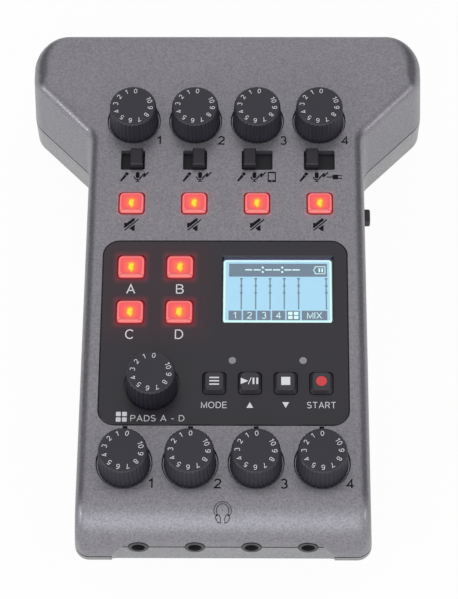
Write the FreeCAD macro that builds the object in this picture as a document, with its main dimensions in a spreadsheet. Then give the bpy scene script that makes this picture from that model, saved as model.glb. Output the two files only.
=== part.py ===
import FreeCAD, Part
import math
import os
import re
import Sketcher

# Four-channel podcast recorder, in millimetres and degrees.
# X runs to the user's right, Y to the rear sockets and Z up; the origin is on the table under the middle.
# "Deck" is the sloping upper face; deck parts have their own frame: X, along the deck, and out of it.

os.makedirs("parts", exist_ok=True)

SIZES = {
    # Case outline
    "overall_width": 112.0,
    "overall_depth": 155.0,
    "body_width": 78.4,
    "neck_from_rear": 34.1,
    "wing_angle": 43.35,
    "neck_radius": 5.0,
    "shoulder_radius": 8.0,
    "rear_radius": 9.5,
    "front_radius": 4.0,
    "nose_radius": 13.0,
    "side_edge_radius": 3.0,
    "wing_edge_radius": 5.0,
    "rear_edge_radius": 2.5,
    "room_edge_radius": 3.0,
    "draft_angle": 2.8,
    "room_draft_angle": 1.2,
    "deck_height": 36.4,
    "deck_tilt": 3.0,
    "seam_height": 18.0,
    "seam_gap": 0.2,
    "wall": 2.0,
    # Lower shell form
    "lip_height": 1.8,
    "waist_height": 9.0,
    "waist_inset": 0.2,
    "waist_front_inset": 4.2,
    "bottom_inset": 5.0,
    "bottom_front_inset": 10.5,
    "bottom_radius": 4.0,
    "foot_height": 2.0,
    "foot_radius": 5.0,
    "foot_recess": 0.6,
    "front_foot_x": 25.0,
    "front_foot_from_front": 19.5,
    "rear_foot_x": 40.0,
    "rear_foot_from_rear": 13.5,
    # Front jack recess
    "recess_depth": 2.9,
    "recess_bottom_width": 61.0,
    "recess_top_width": 57.0,
    "recess_below_seam": 12.0,
    "recess_above_seam": 7.0,
    "recess_radius": 8.0,
    "recess_scoop": 2.2,
    # Rows on the deck
    "channel_pitch": 17.33,
    "gain_row_from_rear": 29.6,
    "switch_row_from_gain": 12.85,
    "mute_row_from_gain": 26.85,
    "phones_row_from_front": 19.8,
    # Display panel
    "panel_width": 66.8,
    "panel_length": 56.0,
    "panel_from_gain": 38.7,
    "panel_thickness": 1.0,
    "panel_radius": 4.6,
    "panel_bevel": 0.25,
    "panel_clearance": 0.12,
    "window_x": 14.4,
    "window_from_panel_top": 15.0,
    "window_width": 30.0,
    "window_length": 20.3,
    "window_lap": 0.5,
    "window_thickness": 0.8,
    "lcd_border": 2.4,
    "lcd_thickness": 3.2,
    "lcd_leg_length": 3.0,
    # Knobs in their round seats, shafts and their potentiometers
    "seat_radius": 7.5,
    "seat_depth": 0.7,
    "knob_radius": 6.95,
    "knob_top_radius": 6.45,
    "knob_height": 8.05,
    "knob_clearance": 0.3,
    "knob_chamfer": 0.4,
    "flute_count": 34,
    "flute_depth": 0.2,
    "flute_width": 0.9,
    "cap_thickness": 1.6,
    "shaft_radius": 3.0,
    "shaft_flat": 0.8,
    "shaft_fit": 0.02,
    "shaft_running_clearance": 0.05,
    "shaft_hole_clearance": 0.6,
    "pot_width": 9.0,
    "pot_length": 10.4,
    "pot_height": 4.8,
    "pot_floor": 1.0,
    "bushing_radius": 3.6,
    "bushing_height": 0.9,
    "level_knob_x": -19.2,
    "level_knob_from_panel_bottom": 11.8,
    # Slide switches
    "slot_length": 6.3,
    "slot_radius": 0.5,
    "short_slot_width": 6.7,
    "long_slot_width": 8.6,
    "lever_width": 3.5,
    "lever_length": 5.3,
    "lever_height": 2.3,
    "lever_clearance": 0.5,
    "shutter_thickness": 0.6,
    "shutter_lap": 0.55,
    "shutter_gap": 0.25,
    "stem_width": 1.8,
    "stem_depth": 2.2,
    "switch_frame_length": 6.6,
    "switch_frame_wall": 2.2,
    "switch_frame_height": 4.4,
    # Keys and their tact switches
    "key_clearance": 0.2,
    "key_height": 1.5,
    "key_top_inset": 0.65,
    "key_radius": 1.2,
    "key_edge": 0.3,
    "key_flange": 0.9,
    "key_flange_thickness": 1.0,
    "key_flange_gap": 0.1,
    "key_stem_radius": 1.5,
    "key_travel": 0.6,
    "key_stop_gap": 0.05,
    "mute_key_width": 7.0,
    "mute_key_length": 6.7,
    "pad_key_width": 7.45,
    "pad_key_length": 7.1,
    "pad_key_x": -25.55,
    "pad_key_pitch_x": 13.3,
    "pad_key_pitch_y": 13.85,
    "pad_key_from_panel_top": 8.3,
    "transport_key_width": 6.1,
    "transport_key_length": 6.4,
    "transport_key_x": -2.55,
    "transport_pitch": 9.51,
    "transport_from_panel_bottom": 12.4,
    "tact_width": 4.4,
    "tact_height": 3.1,
    "plunger_radius": 1.1,
    "plunger_height": 0.4,
    # Status lights
    "light_radius": 1.0,
    "light_fit": 0.05,
    "left_light_x": 2.2,
    "right_light_x": 21.15,
    "light_from_panel_bottom": 19.2,
    # Boards and screws
    "board_depth": 8.0,
    "board_thickness": 1.2,
    "board_width": 70.0,
    "key_board_front_from_front": 11.0,
    "key_board_rear_from_rear": 23.0,
    "main_board_height": 21.3,
    "main_board_front_from_front": 7.0,
    "main_board_rear_from_rear": 20.0,
    "post_radius": 2.5,
    "screw_radius": 1.0,
    "screw_fit": 0.03,
    "screw_head_radius": 1.9,
    "screw_head_height": 1.2,
    "screw_grip": 4.0,
    "key_post_x": 32.3,
    "key_post_rear_from_gain": 19.9,
    "key_post_front_from_front": 52.0,
    "main_post_front_x": 30.0,
    "main_post_front_from_front": 20.5,
    "main_post_rear_x": 32.0,
    "main_post_rear_from_rear": 33.5,
    "case_screw_radius": 1.25,
    "case_head_radius": 2.2,
    "case_head_height": 1.6,
    "case_bore_radius": 2.6,
    "case_bore_depth": 4.6,
    "case_screw_grip": 8.0,
    "case_post_radius": 3.9,
    "case_post_upper_radius": 2.9,
    "case_post_front_x": 29.5,
    "case_post_front_from_front": 30.5,
    "case_post_rear_x": 38.0,
    "case_post_rear_from_rear": 23.5,
    "post_clearance": 0.5,
    # Microphone sockets at the rear
    "socket_pitch": 24.6,
    "socket_height": 21.5,
    "socket_radius": 10.8,
    "socket_groove_radius": 9.6,
    "socket_insert_radius": 7.95,
    "socket_depth": 17.5,
    "socket_groove_depth": 14.0,
    "socket_fit": 0.1,
    "socket_flange_radius": 11.4,
    "socket_flange_thickness": 1.5,
    "socket_flange_gap": 0.4,
    "socket_key_width": 2.4,
    "socket_key_depth": 1.2,
    "contact_circle_radius": 4.76,
    "contact_radius": 1.7,
    "contact_bore_radius": 1.25,
    "contact_fit": 0.02,
    "contact_bore_depth": 10.0,
    "contact_setback": 1.0,
    "contact_tail": 1.8,
    # 3.5 mm jacks
    "jack_pitch": 14.95,
    "jack_bore_radius": 1.8,
    "jack_bore_length": 12.6,
    "jack_collar_radius": 2.65,
    "jack_collar_proud": 0.2,
    "jack_fit": 0.1,
    "jack_width": 7.0,
    "jack_below_axis": 3.1,
    "jack_body_length": 12.0,
    "jack_seat_gap": 0.1,
    "phone_jack_from_rear": 65.5,
    # Side ports
    "usb_width": 8.9,
    "usb_height": 3.2,
    "usb_depth": 7.4,
    "usb_skin": 0.35,
    "usb_setback": 0.6,
    "usb_tongue_width": 6.4,
    "usb_tongue_thickness": 0.7,
    "usb_first_from_rear": 71.5,
    "usb_second_from_rear": 85.5,
    "port_clearance": 0.25,
    "card_from_rear": 86.5,
    "card_slot_width": 26.0,
    "card_slot_height": 2.8,
    "card_slot_depth": 26.0,
    "card_slot_skin": 0.35,
    "power_from_rear": 51.5,
    "power_above_board": 2.0,
    "power_lever_width": 4.0,
    "power_lever_height": 2.6,
    "power_travel": 2.5,
    "power_lever_proud": 1.2,
    "power_shutter_gap": 0.45,
    "power_frame_depth": 5.0,
    "power_frame_margin": 1.6,
    # Battery bay
    "cell_radius": 7.25,
    "cell_length": 49.2,
    "cell_pitch": 15.2,
    "cell_nub_radius": 2.75,
    "cell_nub_length": 1.2,
    "cell_gap": 0.35,
    "bay_from_front": 55.5,
    "bay_width": 56.0,
    "bay_length": 30.6,
    "bay_roof": 1.2,
    "cover_width": 59.0,
    "cover_length": 35.0,
    "cover_thickness": 1.8,
    "cover_gap": 0.25,
    "bay_rim": 1.5,
    "hinge_stub_radius": 0.7,
    "hinge_stub_length": 1.4,
    "hinge_running_clearance": 0.05,
    "cover_grip_width": 12.0,
    "cover_grip_length": 3.0,
    "cover_grip_depth": 0.8,
    "contact_plate_thickness": 0.5,
    "contact_plate_width": 11.0,
    "contact_plate_height": 10.0,
    "contact_spring_radius": 2.8,
    "contact_dimple_radius": 1.8,
    "contact_gap": 0.1,
}

doc = FreeCAD.newDocument("podcast_recorder")
sheet = doc.addObject("Spreadsheet::Sheet", "sizes")
for row, (name, size) in enumerate(SIZES.items(), start=1):
    sheet.set("A%d" % row, name)
    sheet.set("B%d" % row, str(size))
    sheet.setAlias("B%d" % row, name)
doc.recompute()

# Places that several pieces share, as formulas of the sizes above
HALF_DEPTH = "(overall_depth / 2)"
HALF_BODY = "(body_width / 2)"
TILT = "(deck_tilt * 1deg)"
NECK_Y = "(overall_depth / 2 - neck_from_rear)"
WING_RISE = "((overall_width - body_width) / 2 / tan(wing_angle * 1deg))"
GAIN_ROW = "(overall_depth / 2 - gain_row_from_rear)"
SWITCH_ROW = "(%s - switch_row_from_gain)" % GAIN_ROW
MUTE_ROW = "(%s - mute_row_from_gain)" % GAIN_ROW
PANEL_TOP = "(%s - panel_from_gain)" % GAIN_ROW
PANEL_BOTTOM = "(%s - panel_length)" % PANEL_TOP
PHONES_ROW = "(phones_row_from_front - overall_depth / 2)"
LEVEL_ROW = "(%s + level_knob_from_panel_bottom)" % PANEL_BOTTOM
WINDOW_ROW = "(%s - window_from_panel_top)" % PANEL_TOP
TRANSPORT_ROW = "(%s + transport_from_panel_bottom)" % PANEL_BOTTOM
LIGHT_ROW = "(%s + light_from_panel_bottom)" % PANEL_BOTTOM
CHANNELS = ["(%s * channel_pitch)" % step for step in (-1.5, -0.5, 0.5, 1.5)]
RECESS_FLOOR = "(overall_depth / 2 - recess_depth)"
FRONT_ROOM = "(overall_depth / 2 - recess_depth - wall)"
FLOOR_TOP = "(foot_height + wall)"
MAIN_BOARD_TOP = "(main_board_height + board_thickness)"
SOCKET_X = ["(%s * socket_pitch)" % step for step in (-1.5, -0.5, 0.5, 1.5)]
JACK_X = ["(%s * jack_pitch)" % step for step in (-1.5, -0.5, 0.5, 1.5)]
TACT_TOP = "(board_depth - tact_height - plunger_height)"
BAY_Y = "(bay_from_front - overall_depth / 2)"
HINGE_Y = "(%s - cover_length / 2 + cover_gap + cover_thickness / 2)" % BAY_Y
HINGE_Z = "(foot_height + cover_thickness / 2)"
CELL_Z = "(foot_height + cover_thickness + cell_gap + cell_radius)"
CASE_POSTS = [
    ("%s * case_post_front_x" % side, "(case_post_front_from_front - overall_depth / 2)") for side in (-1, 1)
] + [("%s * case_post_rear_x" % side, "(overall_depth / 2 - case_post_rear_from_rear)") for side in (-1, 1)]
KEY_POSTS = [("%s * key_post_x" % side, "(%s - key_post_rear_from_gain)" % GAIN_ROW) for side in (-1, 1)]
KEY_POSTS += [("%s * key_post_x" % side, "(key_post_front_from_front - overall_depth / 2)") for side in (-1, 1)]
MAIN_POSTS = [
    ("%s * main_post_front_x" % side, "(main_post_front_from_front - overall_depth / 2)") for side in (-1, 1)
] + [("%s * main_post_rear_x" % side, "(overall_depth / 2 - main_post_rear_from_rear)") for side in (-1, 1)]
FEET = [("%s * front_foot_x" % side, "(front_foot_from_front - overall_depth / 2)") for side in (-1, 1)]
FEET += [("%s * rear_foot_x" % side, "(overall_depth / 2 - rear_foot_from_rear)") for side in (-1, 1)]

KNOBS = [("gain_knob_%d" % n, "gain_shaft_%d" % n, x, GAIN_ROW) for n, x in enumerate(CHANNELS, start=1)]
KNOBS += [("phones_knob_%d" % n, "phones_shaft_%d" % n, x, PHONES_ROW) for n, x in enumerate(CHANNELS, start=1)]
KNOBS += [("pad_level_knob", "pad_level_shaft", "level_knob_x", LEVEL_ROW)]

# Each switch: name, middle of its slot, slot width, and the side its lever rests on
SWITCHES = [
    ("input_switch_1", CHANNELS[0], "short_slot_width", 1),
    ("input_switch_2", CHANNELS[1], "short_slot_width", 1),
    ("input_switch_3", CHANNELS[2], "long_slot_width", -1),
    ("input_switch_4", CHANNELS[3], "long_slot_width", -1),
]

# Each key: name, X, place along the deck, width and length
MUTE_KEYS = [
    ("mute_key_%d" % n, x, MUTE_ROW, "mute_key_width", "mute_key_length") for n, x in enumerate(CHANNELS, start=1)
]
PAD_KEYS = [
    (
        "pad_key_" + letter,
        "(pad_key_x + %d * pad_key_pitch_x)" % column,
        "(%s - pad_key_from_panel_top - %d * pad_key_pitch_y)" % (PANEL_TOP, line),
        "pad_key_width",
        "pad_key_length",
    )
    for letter, column, line in (("a", 0, 0), ("b", 1, 0), ("c", 0, 1), ("d", 1, 1))
]
TRANSPORT_KEYS = [
    (name, "(transport_key_x + %d * transport_pitch)" % n, TRANSPORT_ROW, "transport_key_width", "transport_key_length")
    for n, name in enumerate(("menu_key", "play_key", "stop_key", "record_key"))
]
KEYS = MUTE_KEYS + PAD_KEYS + TRANSPORT_KEYS

nodes = {}


# Formulas and bindings

def formula(text):
    """Write a formula of size names as an expression on the sheet."""
    return re.sub(r"[a-z][a-z0-9_]*", lambda word: "sizes." + word.group() if word.group() in SIZES else word.group(), text)


def number(text):
    """Work out a formula, for a drawing's first geometry."""
    return float(sheet.evalExpression(formula(text)))


def bind(thing, prop, text):
    thing.setExpression(prop, formula(text))


def new_body(label, node=False):
    body = doc.addObject("PartDesign::Body", label)
    body.Label = label
    body.AllowCompound = True
    if node:
        nodes[label] = body
    return body


def place_on_deck(thing, x="0", along="0"):
    """Give a deck part its frame: turned by the tilt, with its origin on the deck's surface."""
    tilt = number("deck_tilt")
    thing.Placement = FreeCAD.Placement(FreeCAD.Vector(0, 0, 0), FreeCAD.Rotation(FreeCAD.Vector(1, 0, 0), tilt))
    bind(thing, "Placement.Rotation.Angle", TILT)
    bind(thing, "Placement.Base.x", x)
    bind(thing, "Placement.Base.y", "(%s) * cos%s" % (along, TILT))
    bind(thing, "Placement.Base.z", "deck_height + (%s) * sin%s" % (along, TILT))


# Drawings

def new_sketch(body, plane="XY", level="0"):
    """Start a drawing on one of the body's planes, moved out along the plane's normal by level."""
    sketch = body.newObject("Sketcher::SketchObject", body.Name + "_outline")
    base = next(f for f in body.Origin.OriginFeatures if f.Role == plane + "_Plane")
    sketch.AttachmentSupport = [(base, "")]
    sketch.MapMode = "FlatFace"
    bind(sketch, "AttachmentOffset.Base.z", level)
    return sketch


def add_bound(sketch, constraints):
    """Add constraints given as (arguments, formula or None) and bind those that have a formula."""
    built = [Sketcher.Constraint(*args, number(text)) if text else Sketcher.Constraint(*args) for args, text in constraints]
    for index, (args, text) in zip(sketch.addConstraint(built), constraints):
        if text:
            bind(sketch, "Constraints[%d]" % index, text)


def at_point(geo, pos, x, y):
    return [(("DistanceX", -1, 1, geo, pos), x), (("DistanceY", -1, 1, geo, pos), y)]


def circle(sketch, x, y, radius):
    centre = FreeCAD.Vector(number(x), number(y), 0)
    geo = sketch.addGeometry(Part.Circle(centre, FreeCAD.Vector(0, 0, 1), number(radius)), False)
    add_bound(sketch, [(("Radius", geo), radius)] + at_point(geo, 3, x, y))


def polygon(sketch, corners):
    """Draw a closed outline, anticlockwise, from (x, y) or (x, y, corner radius) formulas."""
    points = [FreeCAD.Vector(number(c[0]), number(c[1]), 0) for c in corners]
    count = len(points)
    heading = [(points[(i + 1) % count] - points[i]).normalize() for i in range(count)]
    starts = list(points)
    ends = list(points)
    arcs = {}
    for i, corner in enumerate(corners):
        if len(corner) == 2:
            continue
        radius = number(corner[2])
        before, after = heading[i - 1], heading[i]
        left_turn = before.cross(after).z > 0
        reach = radius * math.tan(before.getAngle(after) / 2)
        ends[i] = points[i] - before * reach
        starts[i] = points[i] + after * reach
        side = FreeCAD.Vector(-before.y, before.x, 0) * (radius if left_turn else -radius)
        centre = ends[i] + side
        first, last = (ends[i], starts[i]) if left_turn else (starts[i], ends[i])
        angles = [math.atan2(p.y - centre.y, p.x - centre.x) for p in (first, last)]
        arcs[i] = (Part.ArcOfCircle(Part.Circle(centre, FreeCAD.Vector(0, 0, 1), radius), *angles), left_turn)
    lines = [sketch.addGeometry(Part.LineSegment(starts[i], ends[(i + 1) % count]), False) for i in range(count)]
    constraints = []
    for i, corner in enumerate(corners):
        before, after = lines[i - 1], lines[i]
        if i in arcs:
            arc, left_turn = arcs[i]
            geo = sketch.addGeometry(arc, False)
            near, far = (1, 2) if left_turn else (2, 1)
            tip = sketch.addGeometry(Part.Point(points[i]), True)
            constraints += [
                (("Tangent", before, 2, geo, near), None),
                (("Tangent", geo, far, after, 1), None),
                (("PointOnObject", tip, 1, before), None),
                (("PointOnObject", tip, 1, after), None),
                (("Radius", geo), corner[2]),
            ]
            constraints += at_point(tip, 1, corner[0], corner[1])
        else:
            constraints.append((("Coincident", before, 2, after, 1), None))
            constraints += at_point(after, 1, corner[0], corner[1])
    add_bound(sketch, constraints)


def rectangle(sketch, x, y, width, length, radius=None):
    """Draw a rectangle about (x, y), with rounded corners if it has a radius."""
    signs = ((-1, -1), (1, -1), (1, 1), (-1, 1))
    corners = [("%s + %s * (%s) / 2" % (x, a, width), "%s + %s * (%s) / 2" % (y, b, length)) for a, b in signs]
    polygon(sketch, [corner + (radius,) for corner in corners] if radius else corners)


def copy_of(form, label, x, along):
    """Put a copy of a form made at the deck's origin in its own place on the deck."""
    piece = join(label, "Compound", [form], node=True)
    place_on_deck(piece, x, along)


# Features

def add_feature(body, kind, sketch, size, length, flipped=False):
    feature = body.newObject("PartDesign::" + kind, "%s_%s" % (body.Name, kind.lower()))
    feature.Profile = sketch
    feature.Reversed = flipped
    bind(feature, size, length)
    body.Tip = feature
    return feature


def pad(body, sketch, length, flipped=False):
    return add_feature(body, "Pad", sketch, "Length", length, flipped)


def pocket(body, sketch, length, flipped=False):
    """Cut against the drawing's normal, or along it when flipped."""
    return add_feature(body, "Pocket", sketch, "Length", length, flipped)


def revolve(body, sketch):
    feature = body.newObject("PartDesign::Revolution", body.Name + "_turned")
    feature.Profile = sketch
    feature.ReferenceAxis = (sketch, ["V_Axis"])
    feature.Angle = 360
    body.Tip = feature
    return feature


def loft(body, sections, kind="Additive"):
    feature = body.newObject("PartDesign::%sLoft" % kind, body.Name + "_loft")
    feature.Profile = sections[0]
    feature.Sections = sections[1:]
    feature.Ruled = True
    body.Tip = feature
    return feature


def round_edges(body, chosen, radius, kind="Fillet", size="Radius"):
    """Round or bevel the edges of the body's last feature that chosen(edge) picks."""
    doc.recompute()
    base = body.Tip
    names = ["Edge%d" % n for n, edge in enumerate(base.Shape.Edges, start=1) if chosen(edge)]
    feature = body.newObject("PartDesign::" + kind, "%s_%s" % (body.Name, kind.lower()))
    feature.Base = (base, names)
    bind(feature, size, radius)
    body.Tip = feature
    return feature


def edge_points(edge):
    """Both ends and the middle of an edge."""
    first, last = edge.ParameterRange
    return [edge.valueAt(first), edge.valueAt((first + last) / 2), edge.valueAt(last)]


def close(a, b):
    return abs(a - b) < 0.01


# Case shells

def deck_level(y, depth="0"):
    """Height of the deck's surface, or of a face at a depth under it, at a place along Y."""
    return "(deck_height + (%s) * tan%s - (%s) / cos%s)" % (y, TILT, depth, TILT)


def plan_corners(inset, front_inset):
    """Give the right-hand corners of the case from above, drawn in by inset: front, neck, shoulder and rear."""
    shift = "(%s) * tan(wing_angle / 2 * 1deg)" % inset
    side = "(%s - (%s))" % (HALF_BODY, inset)
    wing = "(overall_width / 2 - (%s))" % inset
    return [
        (side, "(-%s + (%s))" % (HALF_DEPTH, front_inset)),
        (side, "(%s + %s)" % (NECK_Y, shift)),
        (wing, "(%s + %s + %s)" % (NECK_Y, WING_RISE, shift)),
        (wing, "(%s - (%s))" % (HALF_DEPTH, inset)),
    ]


def corner_radii(trim, bottom=False):
    """Give the roundings of the neck, shoulder and rear corners of a wall that is drawn in by trim."""
    neck = "(neck_radius + (%s))" % trim
    if bottom:
        return [neck, "bottom_radius", "bottom_radius"]
    return [neck, "(shoulder_radius - (%s))" % trim, "(rear_radius - (%s))" % trim]


def case_plan(sketch, corners, radii):
    """Draw the case from above: a straight body that widens into two wings at the rear."""
    half = [corner + ((radius,) if radius else ()) for corner, radius in zip(corners, radii)]
    polygon(sketch, half + [("-" + corner[0],) + corner[1:] for corner in reversed(half)])


def upright_at(x, y):
    """Pick the two standing edges whose feet are at x to either side and at y."""

    def chosen(edge):
        foot, _, head = sorted(edge_points(edge), key=lambda point: point.z)
        return head.z - foot.z > 5 and close(abs(foot.x), number(x)) and close(foot.y, number(y))

    return chosen


def upper_form(label, inset, front_inset, start, depth, draft):
    """Build the upper case's form over the seam: its sides lean in by draft and its top is at a depth under the deck."""
    body = new_body(label)
    corners = plan_corners(inset, front_inset)
    plan = new_sketch(body, "XY", start)
    case_plan(plan, corners, [None] * 4)
    top = deck_level(HALF_DEPTH)
    block = pad(body, plan, "%s - (%s) + 5" % (top, start))
    doc.recompute()
    normals = {"Face%d" % n: face.normalAt(0, 0) for n, face in enumerate(block.Shape.Faces, start=1)}
    lean = body.newObject("PartDesign::Draft", label + "_lean")
    lean.Base = (block, [name for name, normal in normals.items() if abs(normal.x) > 0.1])
    lean.NeutralPlane = (block, [name for name, normal in normals.items() if normal.z < -0.9])
    bind(lean, "Angle", draft)
    body.Tip = lean
    for (x, y), radius in zip(corners[1:], corner_radii(inset)):
        round_edges(body, upright_at(x, y), radius)
    beyond = "(%s + 10)" % HALF_DEPTH
    slope = new_sketch(body, "YZ")
    polygon(
        slope,
        [
            ("-" + beyond, deck_level("-" + beyond, depth)),
            (beyond, deck_level(beyond, depth)),
            (beyond, "%s + 20" % top),
            ("-" + beyond, "%s + 20" % top),
        ],
    )
    pocket(body, slope, "overall_width + 20").SideType = "Symmetric"
    front = number("-%s + (%s)" % (HALF_DEPTH, front_inset))

    def at_nose(edge):
        ends = edge_points(edge)
        return all(close(p.y, front) for p in ends) and close(ends[0].z, ends[2].z) and ends[0].z > number(start) + 1

    round_edges(body, at_nose, "nose_radius - (%s)" % inset)
    return body


def is_rim(edge):
    """Pick the upper edge of the case: round the deck, down the nose's sides and the two front corners."""
    first, middle, last = edge_points(edge)
    if middle.z < number("seam_height + seam_gap") + 0.5:
        return False
    if min(first.z, last.z) < number("seam_height + seam_gap"):
        return middle.y < 0
    across_nose = abs(middle.x) < 0.5 and middle.y < 0
    return not across_nose


def rim_radius(point):
    """Give the rounding of the upper edge at a place on it."""
    if close(point.y, number(HALF_DEPTH)):
        return number("rear_edge_radius")
    if abs(point.x) > number("overall_width / 2") - 2:
        return number("wing_edge_radius")
    if close(point.y, number("-" + HALF_DEPTH)):
        return number("front_radius")
    return number("side_edge_radius")


def round_rim(label, form):
    """Round the upper edge of a form, with a rounding that changes from stretch to stretch."""
    doc.recompute()
    rounded = doc.addObject("Part::Fillet", label)
    rounded.Base = form
    stretches = []
    for n, edge in enumerate(form.Tip.Shape.Edges, start=1):
        if is_rim(edge):
            first, _, last = edge_points(edge)
            ends = sorted((first, last), key=lambda point: math.atan2(point.x, point.y))
            stretches.append((n, rim_radius(ends[0]), rim_radius(ends[1])))
    rounded.Edges = stretches
    return rounded


outside_form = upper_form("upper_outside_form", "0", "0", "seam_height + seam_gap / 2", "0", "draft_angle")
upper_outside = round_rim("upper_outside", outside_form)
upper_room = upper_form("upper_room", "wall", "recess_depth + wall", "seam_height - 1", "wall", "room_draft_angle")
round_edges(upper_room, is_rim, "room_edge_radius")


def shell_loft(label, levels, front_radius):
    """Loft the lower case's form through (level, inset, front inset, trim of the corners, bottom or not)."""
    body = new_body(label)
    sections = []
    for level, inset, front_inset, trim, bottom in levels:
        section = new_sketch(body, "XY", level)
        radii = [front_radius or ("bottom_radius" if bottom else "front_radius")] + corner_radii(trim, bottom)
        case_plan(section, plan_corners(inset, front_inset), radii)
        sections.append(section)
    loft(body, sections)
    return body


lower_outside = shell_loft(
    "lower_outside",
    [
        ("seam_height - seam_gap / 2", "0", "0", "0", False),
        ("seam_height - lip_height", "0", "0", "0", False),
        ("waist_height", "waist_inset", "waist_front_inset", "waist_inset", False),
        ("foot_height", "bottom_inset", "bottom_front_inset", "bottom_inset", True),
    ],
    None,
)
lower_room = shell_loft(
    "lower_room",
    [
        ("seam_height + 1", "wall", "recess_depth + wall", "wall", False),
        ("seam_height - jack_below_axis - 0.9", "wall", "recess_depth + wall", "wall", False),
        ("waist_height", "waist_inset + wall", "waist_front_inset + wall + 0.7", "wall", False),
        (FLOOR_TOP, "bottom_inset + wall / 2", "bottom_front_inset + wall / 2", "wall", True),
    ],
    "bottom_radius / 2",
)


def join(label, kind, parts, node=False):
    """Make a boolean of document objects: Cut takes two, MultiFuse and Compound take a list."""
    result = doc.addObject("Part::" + kind, label)
    result.Label = label
    if kind == "Cut":
        result.Base, result.Tool = parts
    elif kind == "Compound":
        result.Links = parts
    else:
        result.Shapes = parts
    if node:
        nodes[label] = result
    return result


def circles_body(label, places, radius, level, length, plane="XY", flipped=False, node=False):
    """Pad a round of one radius at each place."""
    body = new_body(label, node)
    sketch = new_sketch(body, plane, level)
    for x, y in places:
        circle(sketch, x, y, radius)
    pad(body, sketch, length, flipped)
    return body


# Posts that the case and the key board screw into, left standing in the room inside
upper_posts = circles_body("upper_posts", CASE_POSTS, "case_post_upper_radius", "seam_height", "60")
key_posts = circles_body("key_posts", KEY_POSTS, "post_radius", "-board_depth", "board_depth")
place_on_deck(key_posts)
upper_hollow = join("upper_hollow", "Cut", [upper_room, join("upper_standing", "MultiFuse", [upper_posts, key_posts])])
upper_blank = join("upper_blank", "Cut", [upper_outside, upper_hollow])

lower_posts = circles_body("lower_posts", CASE_POSTS, "case_post_radius", "foot_height", "seam_height - foot_height")
main_posts = circles_body("main_posts", MAIN_POSTS, "post_radius", "foot_height + wall / 2", "main_board_height - foot_height - wall / 2")
bay_block = new_body("bay_block")
bay_outline = new_sketch(bay_block, "XY", "foot_height + wall / 2")
rectangle(bay_outline, "0", BAY_Y, "cover_width + 2 * bay_rim", "cover_length + 2 * bay_rim")
pad(bay_block, bay_outline, "%s + cell_radius + cell_gap + bay_roof - foot_height - wall / 2" % CELL_Z)
bay_room = new_sketch(bay_block, "XY", "foot_height")
rectangle(bay_room, "0", BAY_Y, "bay_width", "bay_length")
pocket(bay_block, bay_room, "%s + cell_radius + cell_gap - foot_height" % CELL_Z, True)
lower_blank = join("lower_blank", "Cut", [lower_outside, lower_room])
lower_standing = join("lower_standing", "MultiFuse", [lower_blank, lower_posts, main_posts, bay_block])


# Openings in the deck, in the deck's frame

def key_openings(sketch, keys):
    for _, x, along, width, length in keys:
        rectangle(sketch, x, along, "%s + 2 * key_clearance" % width, "%s + 2 * key_clearance" % length, "key_radius")


deck_openings = new_body("deck_openings")
below_deck = "-wall - 0.5"
through_deck = "wall + 2.5"
shaft_holes = new_sketch(deck_openings, "XY", below_deck)
for _, _, x, along in KNOBS:
    circle(shaft_holes, x, along, "shaft_radius + shaft_hole_clearance")
for x in ("left_light_x", "right_light_x"):
    circle(shaft_holes, x, LIGHT_ROW, "light_radius + light_fit")
pad(deck_openings, shaft_holes, through_deck)
seats = new_sketch(deck_openings, "XY", "-seat_depth")
for _, _, x, along in KNOBS[:-1]:
    circle(seats, x, along, "seat_radius")
pad(deck_openings, seats, "seat_depth + 2")
slots = new_sketch(deck_openings, "XY", below_deck)
for _, x, width, _ in SWITCHES:
    rectangle(slots, x, SWITCH_ROW, width, "slot_length", "slot_radius")
pad(deck_openings, slots, through_deck)
for keys in (MUTE_KEYS, PAD_KEYS, TRANSPORT_KEYS):
    holes = new_sketch(deck_openings, "XY", below_deck)
    key_openings(holes, keys)
    pad(deck_openings, holes, through_deck)
window_hole = new_sketch(deck_openings, "XY", below_deck)
rectangle(
    window_hole,
    "window_x",
    WINDOW_ROW,
    "window_width + 2 * window_lap + 2 * panel_clearance",
    "window_length + 2 * window_lap + 2 * panel_clearance",
)
pad(deck_openings, window_hole, through_deck)
panel_recess = new_sketch(deck_openings, "XY", "-panel_thickness")
PANEL_ROW = "(%s - panel_length / 2)" % PANEL_TOP
rectangle(
    panel_recess,
    "0",
    PANEL_ROW,
    "panel_width + 2 * panel_clearance",
    "panel_length + 2 * panel_clearance",
    "panel_radius + panel_clearance",
)
pad(deck_openings, panel_recess, "panel_thickness + 2")
place_on_deck(deck_openings)
key_pilots = circles_body("key_pilots", KEY_POSTS, "screw_radius + screw_fit", "-board_depth - 1", "screw_grip + 1.2")
place_on_deck(key_pilots)
case_pilots = circles_body(
    "case_pilots", CASE_POSTS, "case_screw_radius + screw_fit", "seam_height - 1", "case_screw_grip + 1.3"
)

# Openings that both shells share: rear sockets, front recess with its jacks, and the phone jack's hole
socket_places = [(x, "socket_height") for x in SOCKET_X]
rear_openings = circles_body(
    "rear_openings", socket_places, "socket_radius + socket_fit", "-(%s + 2)" % HALF_DEPTH, "wall + 4", "XZ"
)
jack_places = [(x, "seam_height") for x in JACK_X]
jack_holes = circles_body(
    "jack_holes", jack_places, "jack_collar_radius + jack_fit", "%s - 0.5" % FRONT_ROOM, "wall + 2", "XZ"
)
front_recess = new_body("front_recess")
recess_outline = new_sketch(front_recess, "XZ", RECESS_FLOOR)
polygon(
    recess_outline,
    [
        ("-recess_bottom_width / 2", "seam_height - recess_below_seam"),
        ("recess_bottom_width / 2", "seam_height - recess_below_seam"),
        ("recess_top_width / 2", "seam_height + recess_above_seam", "recess_radius"),
        ("-recess_top_width / 2", "seam_height + recess_above_seam", "recess_radius"),
    ],
)
pad(front_recess, recess_outline, "recess_depth + 5")


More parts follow.
